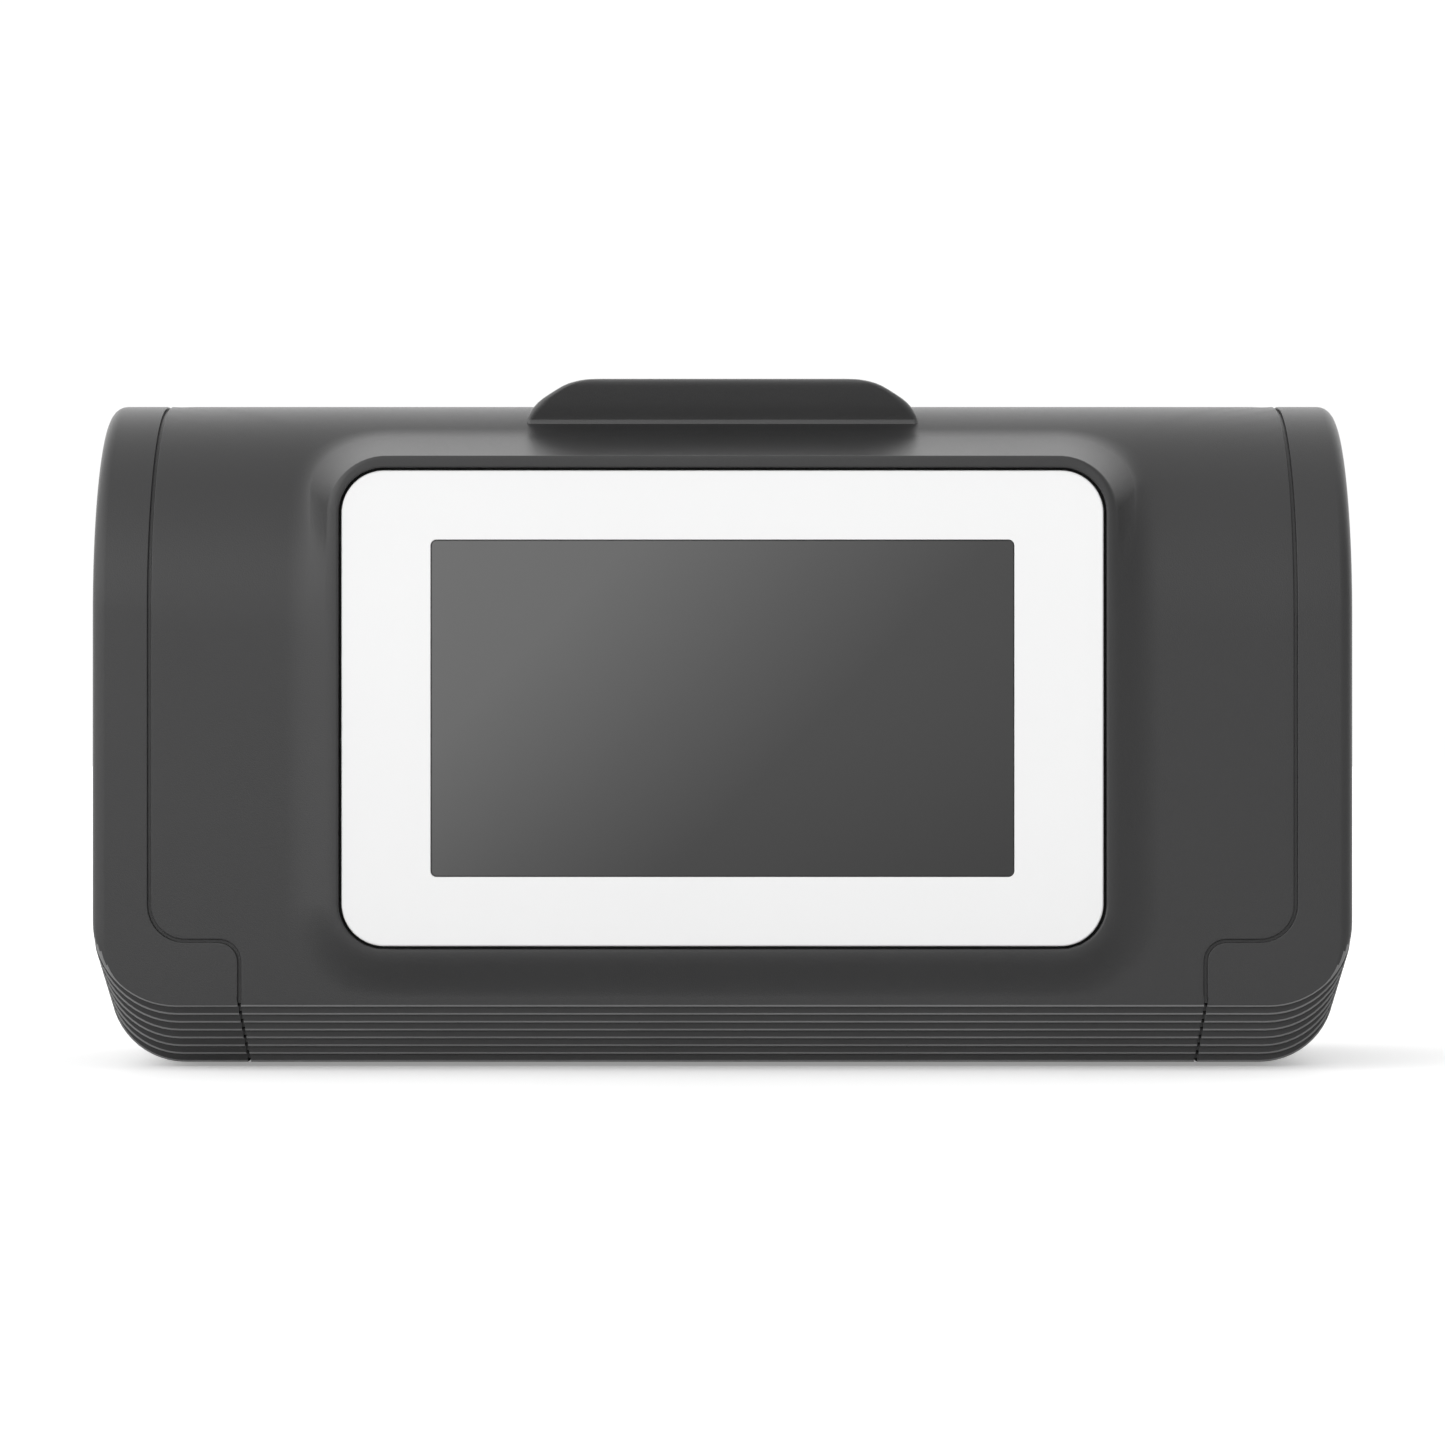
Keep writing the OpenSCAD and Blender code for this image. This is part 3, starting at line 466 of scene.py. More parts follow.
# middle shell: seat, raised frame, slopes and loaf surface, closed by an inner skin
def middleSkin(name, spec):
    frameY, wall = body["frameY"], body["wall"]
    footR = spec["rimR"] + spec["spread"]
    footHalf = spec["width"] / 2 + spec["spread"] - footR
    footLow = runAt(spec["low"] - spec["spread"]) + footR
    footHigh = runAt(spec["high"] + spec["rise"]) - footR
    core = (footHalf, footLow, footHigh)
    border = shellBorder(core)
    match = [matched(core, x, s) for x, s in border]

    def contour(width, low, high, radius, y):
        ring = []
        for cx, ct, dx, ds in match:
            x = cx * (width / 2 - radius) + dx * radius
            z = low + radius + ct * (high - low - 2 * radius) + ds * radius
            ring.append(Vector((x, -y, z)))
        return ring

    def seat(grow, y):
        h = spec["seatH"] / 2 + grow
        width, radius = spec["seatW"] + 2 * grow, spec["seatR"] + grow
        return contour(width, spec["seatZ"] - h, spec["seatZ"] + h, radius, y)

    def opening(y):
        h = spec["openH"] / 2
        return contour(spec["openW"], spec["seatZ"] - h, spec["seatZ"] + h, 4.0, y)

    deep, edge, soft = body["seatDeep"], body["seatEdge"], body["seatSoft"]
    rings = [opening(frameY - deep), seat(0, frameY - deep), seat(0, frameY - edge),
             seat(soft, frameY - soft), seat(edge, frameY)]
    rim = contour(spec["width"], spec["low"], spec["high"], spec["rimR"], frameY)
    edges = []
    for x, s in border:
        if s < 0.001:
            edges.append((0, 1, body["lowEdge"]))
        elif s > fullRun - 0.001:
            edges.append((0, -1, body["crownEdge"]))
        elif abs(x) > body["seamX"] - 0.01 or abs(x) < body["seamLowX"] + 0.01:
            edges.append((-math.copysign(1, x), 0, body["seamEdge"]))
        else:
            edges.append((-math.copysign(0.7, x), 0.7, body["seamEdge"]))
    columns = []
    for (cx, ct, dx, ds), edge, (x, s), (ex, es, radius) in zip(match, rim, border, edges):
        outward = Vector((dx, 0, ds))
        footX = cx * footHalf + dx * footR
        footS = footLow + ct * (footHigh - footLow) + ds * footR
        base = loafPoint(footX, footS)
        upward = max(0.0, ds)
        convex = spec["edgeR"] * (1 - 0.65 * upward)
        along = base - edge
        length = along.length
        along.normalize()
        slopeStart = edge + along * min(convex, length * 0.4)
        slopeEnd = base - along * min(spec["footR"], length * 0.5)
        endX, endS = x + ex * radius, s + es * radius
        gap = math.hypot(endX - footX, endS - footS)
        step = min(spec["footR"], gap * 0.5) / gap
        beyondX, beyondS = footX + (endX - footX) * step, footS + (endS - footS) * step
        column = curveThrough(edge - outward * min(convex, 1.6), edge, slopeStart, 5)
        column.append((slopeStart + slopeEnd) / 2)
        column += curveThrough(slopeEnd, base, loafPoint(beyondX, beyondS), 7)
        for k in range(1, 15):
            t = k / 15
            column.append(loafPoint(beyondX + (endX - beyondX) * t, beyondS + (endS - beyondS) * t))
        for t, deep in ((1.0, 0.0), (0.5, 0.13), (0.13, 0.5), (0.0, 1.0)):
            column.append(loafPoint(x + ex * radius * t, s + es * radius * t, radius * deep))
        column.append(loafPoint(x, s, wall))
        for k in (0.7, 0.4, 0.2, 0.05):
            column.append(loafPoint(beyondX + (x - beyondX) * k, beyondS + (s - beyondS) * k, wall))
        columns.append(column)
    rings += [[column[k] for column in columns] for k in range(len(columns[0]))]
    inner = body["frameWall"]
    rings.append(contour(spec["width"] - 2 * inner, spec["low"] + inner, spec["high"] - inner,
                         spec["rimR"] - inner, body["halfDepth"] - wall))
    rings.append(opening(body["halfDepth"] - wall))
    return ringPiece(name, rings, closeTube=True, angle=50)


# closed outline in the Y-Z plane drawn out along X
def prismAlongX(name, outline, x0, x1, angle=30):
    rings = [[Vector((x, y, z)) for y, z in outline] for x in (x0, x1)]
    return ringPiece(name, rings, capEnds=True, angle=angle)


# stepped strip under the middle shell, hollow behind, its ends drawn in towards the floor
stepInside = {"lipDeep": 2.4, "lipTop": 1.4, "lipFront": 1.2, "footY": -30.2, "bendY": -38.5, "topY": -51.0,
              "topZ": 14.5}


def steppedFoot(name):
    edge = body["stepEdge"]
    inside = stepInside
    outline = [(-body["halfDepth"] + body["stepRun"] + inside["lipDeep"], body["stepZ"] + inside["lipTop"]),
               (-body["halfDepth"] + body["stepRun"], body["stepZ"] + inside["lipFront"]),
               (-body["halfDepth"] + body["stepRun"], body["stepZ"])]
    for k in range(1, body["stepCount"] + 1):
        y = -body["halfDepth"] + body["stepRun"] * k
        z = body["stepZ"] - body["stepRise"] * k
        outline += [(y, z + edge), (y + edge * 0.13, z + edge * 0.5), (y + edge * 0.5, z + edge * 0.13),
                    (y + edge, z)]
        if k < body["stepCount"]:
            outline.append((y + body["stepRun"], z))
    low = body["floorGap"]
    outline += [(inside["footY"], low), (inside["footY"], low + body["wall"]),
                (inside["bendY"], low + body["wall"]), (inside["topY"], inside["topZ"])]
    strip = prismAlongX(name, outline, -body["seamLowX"], body["seamLowX"])
    for vertex in strip.data.vertices:
        below = max(0.0, body["stepZ"] - vertex.co.z / mm) / body["stepRise"]
        vertex.co.x -= math.copysign(body["stepDraw"] * below * mm, vertex.co.x)
    return strip


bezelZ = (bezelLow[2] + bezelHigh[2]) / 2
displayFrame = {
    "width": 194.0, "low": bezelZ - 62.0, "high": bezelZ + 62.2, "rimR": 14.0, "spread": 7.0, "rise": 6.9,
    "seatW": bezelHigh[0] * 2 + 1.4, "seatH": bezelHigh[2] - bezelLow[2] + 1.4, "seatR": 11.3,
    "seatZ": bezelZ,
    "openW": 160.0, "openH": 98.0, "edgeR": 1.7, "footR": 4.0,
}
windowFrame = {
    "width": windowHigh[0] * 2 + 12.8, "low": windowLow[2] - 6.4, "high": windowHigh[2] + 6.4, "rimR": 15.0,
    "spread": 6.0, "rise": 8.0, "seatW": windowHigh[0] * 2 + 0.8, "seatH": windowHigh[2] - windowLow[2] + 0.8,
    "seatR": 10.0, "seatZ": (windowLow[2] + windowHigh[2]) / 2, "openW": windowHigh[0] * 2 - 9.2,
    "openH": windowHigh[2] - windowLow[2] - 9.2, "edgeR": 1.7, "footR": 4.0,
}


def turnRound(piece):
    for vertex in piece.data.vertices:
        vertex.co.y = -vertex.co.y
    editMesh(piece, lambda: bpy.ops.mesh.flip_normals())


rearSkin = joinPieces("rear_skin", [middleSkin("rear_skin", displayFrame), steppedFoot("rear_steps")])
frontSkin = joinPieces("front_skin", [middleSkin("front_skin", windowFrame), steppedFoot("front_steps")])
turnRound(frontSkin)
dress(rearSkin, "housing", "shell_charcoal", "rear_shell")
dress(frontSkin, "housing", "shell_charcoal", "front_shell")
# painted highlight along the lower step edges of both middle shells
for skin in (rearSkin, frontSkin):
    paintHighlight(skin, body["stepZ"] + 0.45)
print("middle shells done")


capShape = {
    "side": capHigh[0], "sideEdge": 3.5, "faceEdge": 0.5, "cornerR": 21.0, "cornerShrink": 0.33,
    "sideShrink": 0.41, "seamX": shellHigh[0] + 0.8, "seamLowX": shellHigh[0] + 0.8 - 22.3, "jogZ": 31.7,
    "upperR": 9.3, "lowerR": 4.8, "seamEdge": 0.3, "stepEdge": body["stepEdge"], "tongue": 0.72,
    "tongueIn": 1.0, "seamDeep": 1.0, "stepTongue": 0.9,
}


# seam edge of the cap on the unrolled surface, from below upwards: point and direction into the cap
def capSeam():
    c = capShape
    jog = c["jogZ"] - body["stepZ"]
    rise = (jog - c["lowerR"] - body["wall"]) / 4
    rows = [(c["seamLowX"], body["wall"] + rise * i, 1.0, 0.0) for i in range(4)]
    for i in range(9):
        a = math.radians(180 - 90 * i / 8)
        rows.append((c["seamLowX"] + c["lowerR"] * (1 + math.cos(a)), jog - c["lowerR"] * (1 - math.sin(a)),
                     -math.cos(a), -math.sin(a)))
    for i in range(9):
        a = math.radians(-90 + 90 * i / 8)
        rows.append((c["seamX"] - c["upperR"] * (1 - math.cos(a)), jog + c["upperR"] * (1 + math.sin(a)),
                     math.cos(a), math.sin(a)))
    return rows


# outer edge of the cap, matched row by row to its seam
def capRim(count):
    c = capShape
    core = c["side"] - c["cornerR"]
    rows = [(c["seamLowX"] + (core - c["seamLowX"]) * i / 4, 0.0, 0.0, -1.0, c["faceEdge"]) for i in range(4)]
    arc = count - 5
    for i in range(arc + 1):
        a = math.radians(-90 + 90 * i / arc)
        t = min(1.0, max(0.0, (i / arc - 0.45) / 0.55))
        edge = c["faceEdge"] + (c["sideEdge"] - c["faceEdge"]) * t * t * (3 - 2 * t)
        rows.append((core + c["cornerR"] * math.cos(a), c["cornerR"] * (1 + math.sin(a)), math.cos(a),
                     math.sin(a), edge))
    return rows


def capBody(name):
    c = capShape
    wall = body["wall"]
    seam = capSeam()
    rim = capRim(len(seam))
    heights = [30, 40, 52, 64, 76, 88, flatRun]
    heights += [flatRun + arcRun * i / 26 for i in range(1, 27)] + [fullRun]
    for s in heights:
        seam.append((c["seamX"], s, 1.0, 0.0))
        rim.append((c["side"], s, 1.0, 0.0, c["sideEdge"]))
    columns = []
    for (bx, bs, ux, us), (ex, es, nx, ns, edge) in zip(seam, rim):
        tongue = (bx - ux * c["tongue"], bs - us * c["tongue"])
        half = [loafPoint(*tongue, wall), loafPoint(*tongue, c["seamDeep"]), loafPoint(bx, bs, c["seamDeep"]),
                loafPoint(bx, bs, c["seamEdge"]),
                loafPoint(bx + ux * c["seamEdge"] * 0.3, bs + us * c["seamEdge"] * 0.3, c["seamEdge"] * 0.3),
                loafPoint(bx + ux * c["seamEdge"], bs + us * c["seamEdge"])]
        for i in range(7):
            a = math.radians(15 * i)
            back = edge * (1 - math.sin(a))
            half.append(loafPoint(ex - nx * back, es - ns * back, edge * (1 - math.cos(a))))
        inner = loafPoint(ex - nx * wall, es - ns * wall, wall)
        flip = lambda p: Vector((p.x, -p.y, p.z))
        columns.append(half + [flip(p) for p in reversed(half)] + [flip(inner), inner])
    return ringPiece(name, columns, capEnds=True, angle=38)


# one step of a cap: an L-shaped plate round the lower corner, its front and rear edges rounded
def capStep(name, k):
    c = capShape
    side = c["side"] - c["sideShrink"] * k
    radius = c["cornerR"] - c["cornerShrink"] * k
    low = body["stepZ"] - body["stepRise"] * k
    reach = body["halfDepth"] - body["stepRun"] * k
    top = body["stepZ"] + c["cornerR"] + 1.5
    seamX = c["seamLowX"] - body["stepDraw"] * k

    def outline(inset):
        points = [(seamX, low + inset)]
        for i in range(15):
            a = math.radians(-90 + 90 * i / 14)
            r = radius - inset
            points.append((side - radius + r * math.cos(a), low + radius + r * math.sin(a)))
        points.append((side - inset, top))
        points.append((side - body["wall"], top))
        for i in range(15):
            a = math.radians(-90 * i / 14)
            r = radius - body["wall"]
            points.append((side - radius + r * math.cos(a), low + radius + r * math.sin(a)))
        points.append((seamX, low + body["wall"]))
        return points

    edge = c["stepEdge"]
    rings = []
    for y, inset in ((-reach, edge), (-reach + edge * 0.13, edge * 0.5), (-reach + edge * 0.5, edge * 0.13),
                     (-reach + edge, 0.0)):
        rings.append([Vector((x, y, z)) for x, z in outline(inset)])
    rings += [[Vector((p.x, -p.y, p.z)) for p in ring] for ring in reversed(rings)]
    return ringPiece(name, rings, capEnds=True, angle=50)


# lip that closes the seam groove behind step k, or behind the face's lower edge for k = 0
def stepTongue(k):
    c = capShape
    seamX = c["seamLowX"] - body["stepDraw"] * k
    low = body["stepZ"] - body["stepRise"] * k
    reach = body["halfDepth"] - body["stepRun"] * k - c["stepTongue"]
    return block("tongue", (seamX - c["tongue"], -reach, low + c["stepTongue"]),
                 (seamX + c["tongueIn"], reach, low + body["wall"] + 0.2))


def cutWith(piece, cutter, operation="DIFFERENCE"):
    applyModifier(piece, "BOOLEAN", operation=operation, object=cutter, solver="EXACT")
    bpy.data.objects.remove(cutter, do_unlink=True)


# closed block between two corners, its edges rounded
def block(name, low, high, edge=0.0):
    deselectAll()
    bpy.ops.mesh.primitive_cube_add(size=1)
    piece = bpy.context.active_object
    piece.name = name
    for vertex in piece.data.vertices:
        vertex.co = Vector([(l if v < 0 else h) * mm for v, l, h in zip(vertex.co, low, high)])
    if edge:
        applyModifier(piece, "BEVEL", width=edge * mm, segments=3, limit_method="ANGLE")
        smoothByAngle(piece, 50)
    return piece


# turned piece: profile of (along, radius) pairs about an axis through the centre
def turned(name, profile, axis, centre, segments=64, angle=35, capEnds=True):
    rings = []
    for along, radius in profile:
        ring = []
        for i in range(segments):
            a = 2 * math.pi * i / segments
            u, v = radius * math.cos(a), radius * math.sin(a)
            spot = {"x": (along, u, v), "y": (u, along, v), "z": (u, v, along)}[axis]
            ring.append(Vector(spot) + Vector(centre))
        rings.append(ring)
    return ringPiece(name, rings, capEnds=capEnds, closeTube=not capEnds, angle=angle)


def mirrorAcrossX(piece):
    for vertex in piece.data.vertices:
        vertex.co.x = -vertex.co.x
    editMesh(piece, lambda: bpy.ops.mesh.flip_normals())


coverLow, coverHigh = boxMm("port_cover")
buttonLow, buttonHigh = boxMm("power_button")
buttonZ = (buttonLow[2] + buttonHigh[2]) / 2
bay = {"floorX": -147.6, "halfY": 24.5, "low": 38.0, "high": 64.0, "wall": 1.8, "hingeX": -154.1,
       "hingeZ": 40.3, "hingeR": 1.9, "earY": 16.3, "earEnd": 24.6, "ioTop": 43.6, "mouthX": -157,
       "socketX": (-150, -140), "socketGap": 0.2, "networkY": (-21.2, -3.8), "networkTop": 57.3,
       "usbY": (4, 14), "usbW": 9.0, "usbTop": 47.1}

# right cap with the hole for the button's light ring
rightCap = capBody("right_cap_skin")
cutWith(rightCap, turned("hole", [(140, 9.2), (155.7, 9.2), (156.2, 9.7), (160, 9.7)], "x", (0, 0, buttonZ)))
smoothByAngle(rightCap, 38)
rightSteps = [capStep("right_cap_step_%d" % k, k) for k in range(1, body["stepCount"] + 1)]
rightSteps += [stepTongue(k) for k in range(body["stepCount"] + 1)]
rightCap = joinPieces("right_cap_skin", [rightCap] + rightSteps)
dress(rightCap, "housing", "cap_charcoal", "right_end_cap")
# painted highlight along the right cap's step edges
paintHighlight(rightCap, body["stepZ"] + capShape["cornerR"])

# left cap with the port bay behind its cover
leftCap = capBody("left_cap_skin")
mirrorAcrossX(leftCap)
outerBay = block("outer_bay", (-155.2, -bay["halfY"] - bay["wall"], bay["low"] - bay["wall"]),
                 (bay["floorX"] + bay["wall"], bay["halfY"] + bay["wall"], bay["high"] + bay["wall"]))
cutWith(leftCap, outerBay, "UNION")
cutWith(leftCap, block("bay_space", (bay["mouthX"], -bay["halfY"], bay["low"]),
                       (bay["floorX"], bay["halfY"], bay["high"])))
socketBack, socketFront = bay["socketX"]
socketLow = bay["ioTop"] - bay["socketGap"]
cutWith(leftCap, block("network_hole", (socketBack, bay["networkY"][0], socketLow),
                       (socketFront, bay["networkY"][1], bay["networkTop"])))
for y in bay["usbY"]:
    cutWith(leftCap, block("usb_hole", (socketBack, y - bay["socketGap"], socketLow),
                           (socketFront, y + bay["usbW"] + bay["socketGap"], bay["usbTop"])))
smoothByAngle(leftCap, 38)
ears = []
for sign in (-1, 1):
    near, far = sorted((sign * bay["earY"], sign * bay["earEnd"]))
    ear = block("ear", (bay["hingeX"], near, bay["low"] - 0.5),
                (bay["hingeX"] + bay["hingeR"] + 3, far, bay["hingeZ"] + bay["hingeR"]), 0.15)
    front = block("ear_front", (bay["hingeX"] - bay["hingeR"], near, bay["low"] - 0.5),
                  (bay["hingeX"] + 1, far, bay["hingeZ"]), 0.15)
    knuckle = turned("knuckle", [(sign * bay["earY"], 1.7), (sign * (bay["earY"] + 0.2), bay["hingeR"]),
                                 (sign * bay["earEnd"], bay["hingeR"])], "y",
                     (bay["hingeX"], 0, bay["hingeZ"]), 40)
    ears += [ear, front, knuckle]
leftSteps = [capStep("left_cap_step_%d" % k, k) for k in range(1, body["stepCount"] + 1)]
leftSteps += [stepTongue(k) for k in range(body["stepCount"] + 1)]
for step in leftSteps:
    mirrorAcrossX(step)
leftCap = joinPieces("left_cap_skin", [leftCap] + ears + leftSteps)
dress(leftCap, "housing", "cap_charcoal", "left_end_cap")
# painted highlight along the left cap's step edges
paintHighlight(leftCap, body["stepZ"] + capShape["cornerR"])
print("end caps done")


# port cover: plate with a finger notch and a hinge barrel along its lower edge
cover = {"plateLow": 42.6, "backX": -153.8, "edge": 0.4, "notchX": -156.4, "notchR": 1.3, "notchHalf": 5.5,
         "notchDrop": 1.4, "webTop": 43.4, "webEdge": 0.12, "halfY": 16, "barrelR": 1.9, "barrelBore": 0.95,
         "barrelEdge": 0.2}


def coverSkin():
    plate = block("port_cover_skin", (coverLow[0], coverLow[1], cover["plateLow"]),
                  (cover["backX"], coverHigh[1], coverHigh[2]), cover["edge"])
    reach, r = cover["notchHalf"], cover["notchR"]
    cutWith(plate, turned("notch", [(-reach, r), (reach, r)], "y",
                          (cover["notchX"], 0, coverHigh[2] - cover["notchDrop"]), 32))
    smoothByAngle(plate, 50)
    half, r, bore, edge = cover["halfY"], cover["barrelR"], cover["barrelBore"], cover["barrelEdge"]
    web = block("web", (coverLow[0], -half, bay["hingeZ"]), (cover["backX"], half, cover["webTop"]),
                cover["webEdge"])
    profile = [(-half, r - edge), (-half + edge, r), (half - edge, r), (half, r - edge), (half, bore),
               (-half, bore)]
    barrel = turned("barrel", profile, "y", (bay["hingeX"], 0, bay["hingeZ"]), 40, capEnds=False)
    return joinPieces("port_cover_skin", [plate, web, barrel])


dress(coverSkin(), "cover", "cap_charcoal", "port_cover")

# power button: shallow dish with a soft rim, and the light ring round it
buttonProfile = [(buttonLow[0], 8.2), (buttonLow[0] + 1.8, 8.2), (buttonLow[0] + 1.8, 6.93), (155.4, 6.93),
                 (155.8, 6.8), (155.97, 6.5), (155.95, 6.1), (155.75, 4.5), (155.62, 2.5), (155.58, 0.02)]
buttonSkin = turned("power_button_skin", buttonProfile, "x", (0, 0, buttonZ), 72)
dress(buttonSkin, "button", "button_black", "power_button")
ringProfile = [(152.4, 7.0), (155.6, 7.0), (155.85, 7.2), (156.0, 7.6), (156.0, 8.6), (155.85, 9.0),
               (155.6, 9.18), (153.6, 9.18), (153.6, 10.4), (152.4, 10.4)]
ringSkin = turned("light_ring_skin", ringProfile, "x", (0, 0, buttonZ), 72, capEnds=False)
dress(ringSkin, "housing", "ring_clear", "button_light_ring")
print("cover and button done")


# grip: rounded rectangles stacked upwards: height from its top, width, depth, corner radius
gripLevels = [
    (-16.0, 98.6, 53.6, 0.9), (-11.6, 98.6, 53.6, 0.9), (-11.4, 98.9, 54.0, 0.9), (-11.1, 98.9, 54.0, 1.0),
    (-10.2, 98.8, 53.7, 1.1), (-9.9, 98.7, 53.9, 1.3), (-9.0, 98.2, 55.2, 1.9), (-7.4, 96.4, 57.6, 2.7),
    (-6.8, 95.3, 58.5, 2.8), (-5.8, 93.4, 59.8, 2.7), (-4.8, 90.8, 61.1, 2.4), (-3.8, 87.6, 62.4, 2.1),
    (-2.8, 84.3, 63.7, 2.0), (-1.8, 80.8, 65.0, 2.2), (-1.1, 77.6, 65.7, 2.4), (-0.7, 75.0, 65.8, 2.6),
    (-0.35, 72.2, 65.3, 2.6), (-0.12, 69.6, 64.2, 2.6), (0.0, 66.0, 62.4, 2.6),
]


def gripSkin():
    rings = []
    for dz, width, depth, radius in gripLevels:
        loop = roundedLoop(width, depth, radius, side=16, top=24, corner=10)
        rings.append([Vector((x, y, gripTop + dz)) for x, y in loop])
    return ringPiece("grip_skin", rings, capEnds=True, angle=40)


dress(gripSkin(), "housing", "grip_charcoal", "carry_grip")


# flat frame with a window, edges rounded front and back
def framePiece(name, outer, hole, front, back, z, edge, holeEdge):
    outline = lambda shape, grow: roundedLoop(shape[0] + 2 * grow, shape[1] + 2 * grow, shape[2] + grow, z)
    at = lambda loop, y: [Vector((x, -y, zz)) for x, zz in loop]
    rings = [at(outline(outer, 0), back)]
    for i in range(5):
        a = math.radians(90 * i / 4)
        rings.append(at(outline(outer, edge * (math.cos(a) - 1)), front - edge * (1 - math.sin(a))))
    for i in range(4):
        a = math.radians(90 * i / 3)
        rings.append(at(outline(hole, holeEdge * (1 - math.sin(a))), front - holeEdge * (1 - math.cos(a))))
    rings.append(at(outline(hole, 0), back))
    return ringPiece(name, rings, closeTube=True, angle=40)


glassFront = -boxMm("screen_glass")[0][1]
bezel = framePiece("bezel_skin", (bezelHigh[0] * 2, bezelHigh[2] - bezelLow[2], 10.6), (144.0, 83.2, 1.5),
                   -bezelLow[1], -bezelHigh[1], bezelZ, 0.5, 0.15)
dress(bezel, "housing", "bezel_white", "display_bezel")

# dark seal round the bezel, and the screen's cover glass with polished edges
gasketLow, gasketHigh = boxMm("display_gasket")
gasketOuter = (gasketHigh[0] * 2, gasketHigh[2] - gasketLow[2], 11.2)
seal = framePiece("display_seal", gasketOuter, (164.0, 102.0, 4.0), -gasketLow[1], -gasketHigh[1], bezelZ,
                  0.15, 0.1)
dress(seal, "housing", "gasket_black", "display_gasket")


def platePiece(name, levels, z):
    rings = [[Vector((x, y, zz)) for x, zz in roundedLoop(w, h, r, z, 6, 10, 12)] for y, w, h, r in levels]
    return ringPiece(name, rings, capEnds=True, angle=40)


glass = platePiece("screen_skin", [(-glassFront, 143.3, 82.5, 1.2), (-glassFront + 0.1, 143.5, 82.7, 1.25),
                                   (-glassFront + 0.25, 143.6, 82.8, 1.3), (-58.1, 143.6, 82.8, 1.3),
                                   (-58.1, 150.0, 89.0, 1.8), (-57.2, 150.0, 89.0, 1.8)], bezelZ)
dress(glass, "housing", "screen_glass", "screen_glass")
print("display done")


# front window: dark pane with a bevelled edge, in its seal
windowZ = windowFrame["seatZ"]
paneW, paneH = windowHigh[0] * 2, windowHigh[2] - windowLow[2]
pane = platePiece("window_skin", [(windowLow[1], paneW, paneH, 9.6), (windowHigh[1] - 0.4, paneW, paneH, 9.6),
                                  (windowHigh[1] - 0.12, paneW - 0.24, paneH - 0.24, 9.5),
                                  (windowHigh[1], paneW - 0.9, paneH - 0.9, 9.2)], windowZ)
dress(pane, "housing", "window_dark", "front_window")
print("window done")


feet = {"screwX": 84.0, "screwY": 13.0, "padR": 8.0, "padTop": 2.2, "socketR": 2.06, "socketLow": 1.0,
        "wheelR": 8.4, "wheelLow": 2.3, "wheelHigh": 4.6, "ribs": 40, "ribDips": (0.0, 0.14, 0.42, 0.14),
        "studR": 4.0, "studTop": 17.0, "studFootR": 3.3, "studEndR": 2.9, "threadDeep": 0.62,
        "threadStart": 0.1, "pitch": 1.25, "pitchRows": 8, "around": 40, "pinLow": 1.2, "pinR": 2.0}


# one ring of points round a foot's axis
def footRing(x, radius, z, count):
    angles = [2 * math.pi * i / count for i in range(count)]
    return [Vector((x + radius * math.cos(a), feet["screwY"] + radius * math.sin(a), z)) for a in angles]


def footPad(name, x):
    low, top, r = 0.0, feet["padTop"], feet["padR"]
    profile = [(low, r - 0.7), (low + 0.2, r - 0.2), (low + 0.6, r), (top - 0.4, r), (top - 0.1, r - 0.15),
               (top, r - 0.5), (top, feet["socketR"]), (feet["socketLow"], feet["socketR"]),
               (feet["socketLow"], 0.02)]
    return turned(name, profile, "z", (x, feet["screwY"], 0), 72)


# finger wheel with ribs, and the threaded stud above it
def footScrew(name, x):
    rings = []
    heights = [(feet["wheelLow"], 0.55), (feet["wheelLow"] + 0.25, 0.1), (feet["wheelLow"] + 0.5, 0.0),
               (feet["wheelHigh"] - 0.5, 0.0), (feet["wheelHigh"] - 0.25, 0.1), (feet["wheelHigh"], 0.55)]
    count = feet["ribs"] * 4
    for z, inset in heights:
        ring = []
        for i in range(count):
            dip = feet["ribDips"][i % 4]
            r = feet["wheelR"] - inset - dip
            a = 2 * math.pi * i / count
            ring.append(Vector((x + r * math.cos(a), feet["screwY"] + r * math.sin(a), z)))
        rings.append(ring)
    wheel = ringPiece("wheel", rings, capEnds=True, angle=30)
    turns = (feet["studTop"] - 1.2 - feet["wheelHigh"]) / feet["pitch"]
    around, perPitch = feet["around"], feet["pitchRows"]
    rings = [footRing(x, feet["studFootR"], feet["wheelHigh"] - feet["threadStart"], around)]
    for k in range(int(turns * perPitch) + 1):
        z = feet["wheelHigh"] + feet["pitch"] * k / perPitch + feet["threadStart"]
        ring = []
        for i in range(around):
            a = 2 * math.pi * i / around
            phase = (k / perPitch - i / around) % 1.0
            r = feet["studR"] - 0.02 - feet["threadDeep"] * abs(phase * 2 - 1)
            ring.append(Vector((x + r * math.cos(a), feet["screwY"] + r * math.sin(a), z)))
        rings.append(ring)
    rings.append(footRing(x, feet["studEndR"], feet["studTop"], around))
    stud = ringPiece("stud", rings, capEnds=True, angle=45)
    low, r = feet["pinLow"], feet["pinR"]
    pinProfile = [(low, r - 0.2), (low + 0.1, r), (feet["wheelLow"] + 0.1, r)]
    pin = turned("pin", pinProfile, "z", (x, feet["screwY"], 0), 32)
    return joinPieces(name, [wheel, stud, pin])


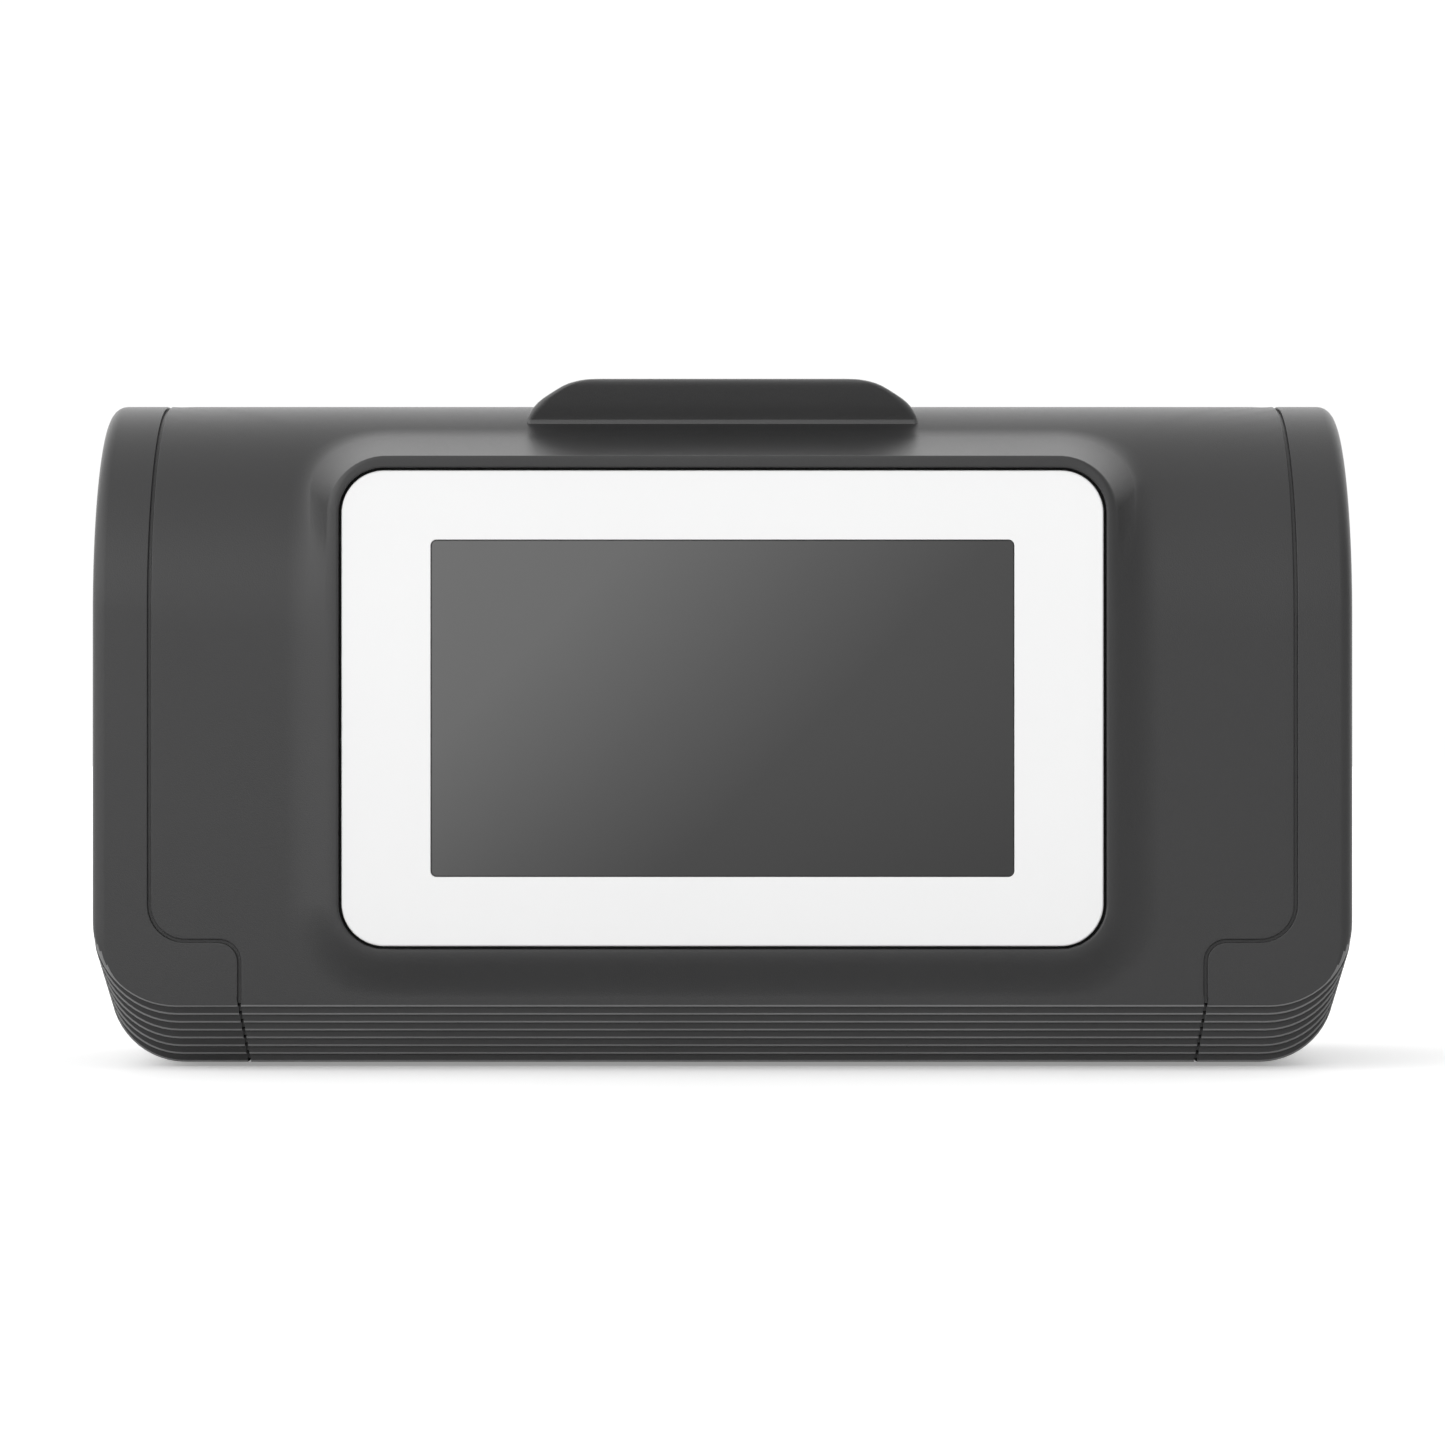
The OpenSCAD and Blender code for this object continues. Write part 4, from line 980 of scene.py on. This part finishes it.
for side, x in (("left", -feet["screwX"]), ("right", feet["screwX"])):
    dress(footPad(side + "_pad_skin", x), side + "_pad", "foot_rubber", side + "_foot_pad")
    dress(footScrew(side + "_screw_skin", x), side + "_stud", "foot_steel", side + "_foot_screw")
rearProfile = [(0.0, 6.3), (0.15, 6.75), (0.5, 7.0), (2.0, 7.0), (2.0, 0.02)]
rearFeet = []
for x in (-feet["screwX"], feet["screwX"]):
    rearFeet.append(turned("rear_foot", rearProfile, "z", (x, -feet["screwY"], 0), 64))
dress(joinPieces("rear_feet_skin", rearFeet), "housing", "foot_rubber", "rear_feet")
print("feet done")


deselectAll()
# pale to the eye, dimmer in what it throws back at the underside
ground = {"size": 12, "middleY": 3.0, "tone": 0.9, "glow": 0.3, "dimmed": 0.66}
bpy.ops.mesh.primitive_plane_add(size=ground["size"], location=(0, ground["middleY"], 0))
floor = bpy.context.active_object
floor.name = "floor"
floorMaterial = newMaterial("floor_pale", (ground["tone"],) * 3, 0.8, grainScale=40, grainDepth=0.0,
                            mottle=0.003)
floorShader = floorMaterial.node_tree.nodes["Principled BSDF"]
floorShader.inputs["Emission Color"].default_value = (1, 1, 1, 1)
floorShader.inputs["Emission Strength"].default_value = ground["glow"]
dimmed = floorMaterial.node_tree.nodes.new("ShaderNodeBsdfDiffuse")
dimmed.inputs["Color"].default_value = (*(ground["dimmed"],) * 3, 1)
chooser = floorMaterial.node_tree.nodes.new("ShaderNodeMixShader")
seen = floorMaterial.node_tree.nodes.new("ShaderNodeLightPath")
floorOut = floorMaterial.node_tree.nodes["Material Output"]
floorMaterial.node_tree.links.new(seen.outputs["Is Camera Ray"], chooser.inputs["Fac"])
floorMaterial.node_tree.links.new(dimmed.outputs["BSDF"], chooser.inputs[1])
floorMaterial.node_tree.links.new(floorShader.outputs["BSDF"], chooser.inputs[2])
floorMaterial.node_tree.links.new(chooser.outputs["Shader"], floorOut.inputs["Surface"])
floor.data.materials.append(floorMaterial)
floor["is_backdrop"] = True

# studio surround: bright behind, soft from the left, dim on the right; plain white to the eye
studio = {"left": 1.9, "right": 0.5, "behind": 1.3, "above": 0.82, "seen": 1.02}
world = bpy.data.worlds.new("studio")
bpy.context.scene.world = world
world.use_nodes = True
tree = world.node_tree
sky = tree.nodes["Background"]
sky.inputs["Color"].default_value = (1, 1, 1, 1)
direction = tree.nodes.new("ShaderNodeTexCoord")
split = tree.nodes.new("ShaderNodeSeparateXYZ")
tree.links.new(direction.outputs["Generated"], split.inputs["Vector"])


def ranged(axis, low, high, start, end):
    node = tree.nodes.new("ShaderNodeMapRange")
    node.inputs["From Min"].default_value = low
    node.inputs["From Max"].default_value = high
    node.inputs["To Min"].default_value = start
    node.inputs["To Max"].default_value = end
    tree.links.new(split.outputs[axis], node.inputs["Value"])
    return node.outputs["Result"]


def blended(factor, first, second):
    node = tree.nodes.new("ShaderNodeMix")
    tree.links.new(factor, node.inputs["Factor"])
    for socket, value in ((node.inputs["A"], first), (node.inputs["B"], second)):
        if isinstance(value, float):
            socket.default_value = value
        else:
            tree.links.new(value, socket)
    return node.outputs["Result"]


front = ranged("X", -0.4, 0.4, studio["left"], studio["right"])
around = blended(ranged("Y", -0.1, 0.4, 0.0, 1.0), front, studio["behind"])
surround = blended(ranged("Z", 0.5, 0.95, 0.0, 1.0), around, studio["above"])
path = tree.nodes.new("ShaderNodeLightPath")
tree.links.new(blended(path.outputs["Is Camera Ray"], surround, studio["seen"]), sky.inputs["Strength"])


def areaLight(name, place, target, size, power):
    data = bpy.data.lights.new(name, "AREA")
    data.energy = power
    data.size = size
    lamp = bpy.data.objects.new(name, data)
    bpy.context.collection.objects.link(lamp)
    lamp.location = place
    lamp.rotation_euler = (Vector(target) - Vector(place)).to_track_quat("-Z", "Y").to_euler()
    return lamp


# soft key light that lifts the white frame and leaves no glint on the shell
key = areaLight("key", (-0.5, -2.2, 0.7), (0, 0, 0.09), 1.4, 3.6)
key.visible_glossy = False

shot = {"sensor": 36.0, "lens": 131.1, "away": 1.357, "height": 0.0861}
cameraData = bpy.data.cameras.new("camera")
cameraData.sensor_width = shot["sensor"]
cameraData.lens = shot["lens"]
camera = bpy.data.objects.new("camera", cameraData)
bpy.context.collection.objects.link(camera)
camera.location = (0, -shot["away"], shot["height"])
camera.rotation_euler = (math.radians(90), 0, 0)
bpy.context.scene.camera = camera
bpy.context.scene.view_settings.view_transform = "Standard"

asLists = lambda box: [list(map(float, corner)) for corner in box]
{"cad": asLists(cadBox), "visual": asLists(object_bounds())}
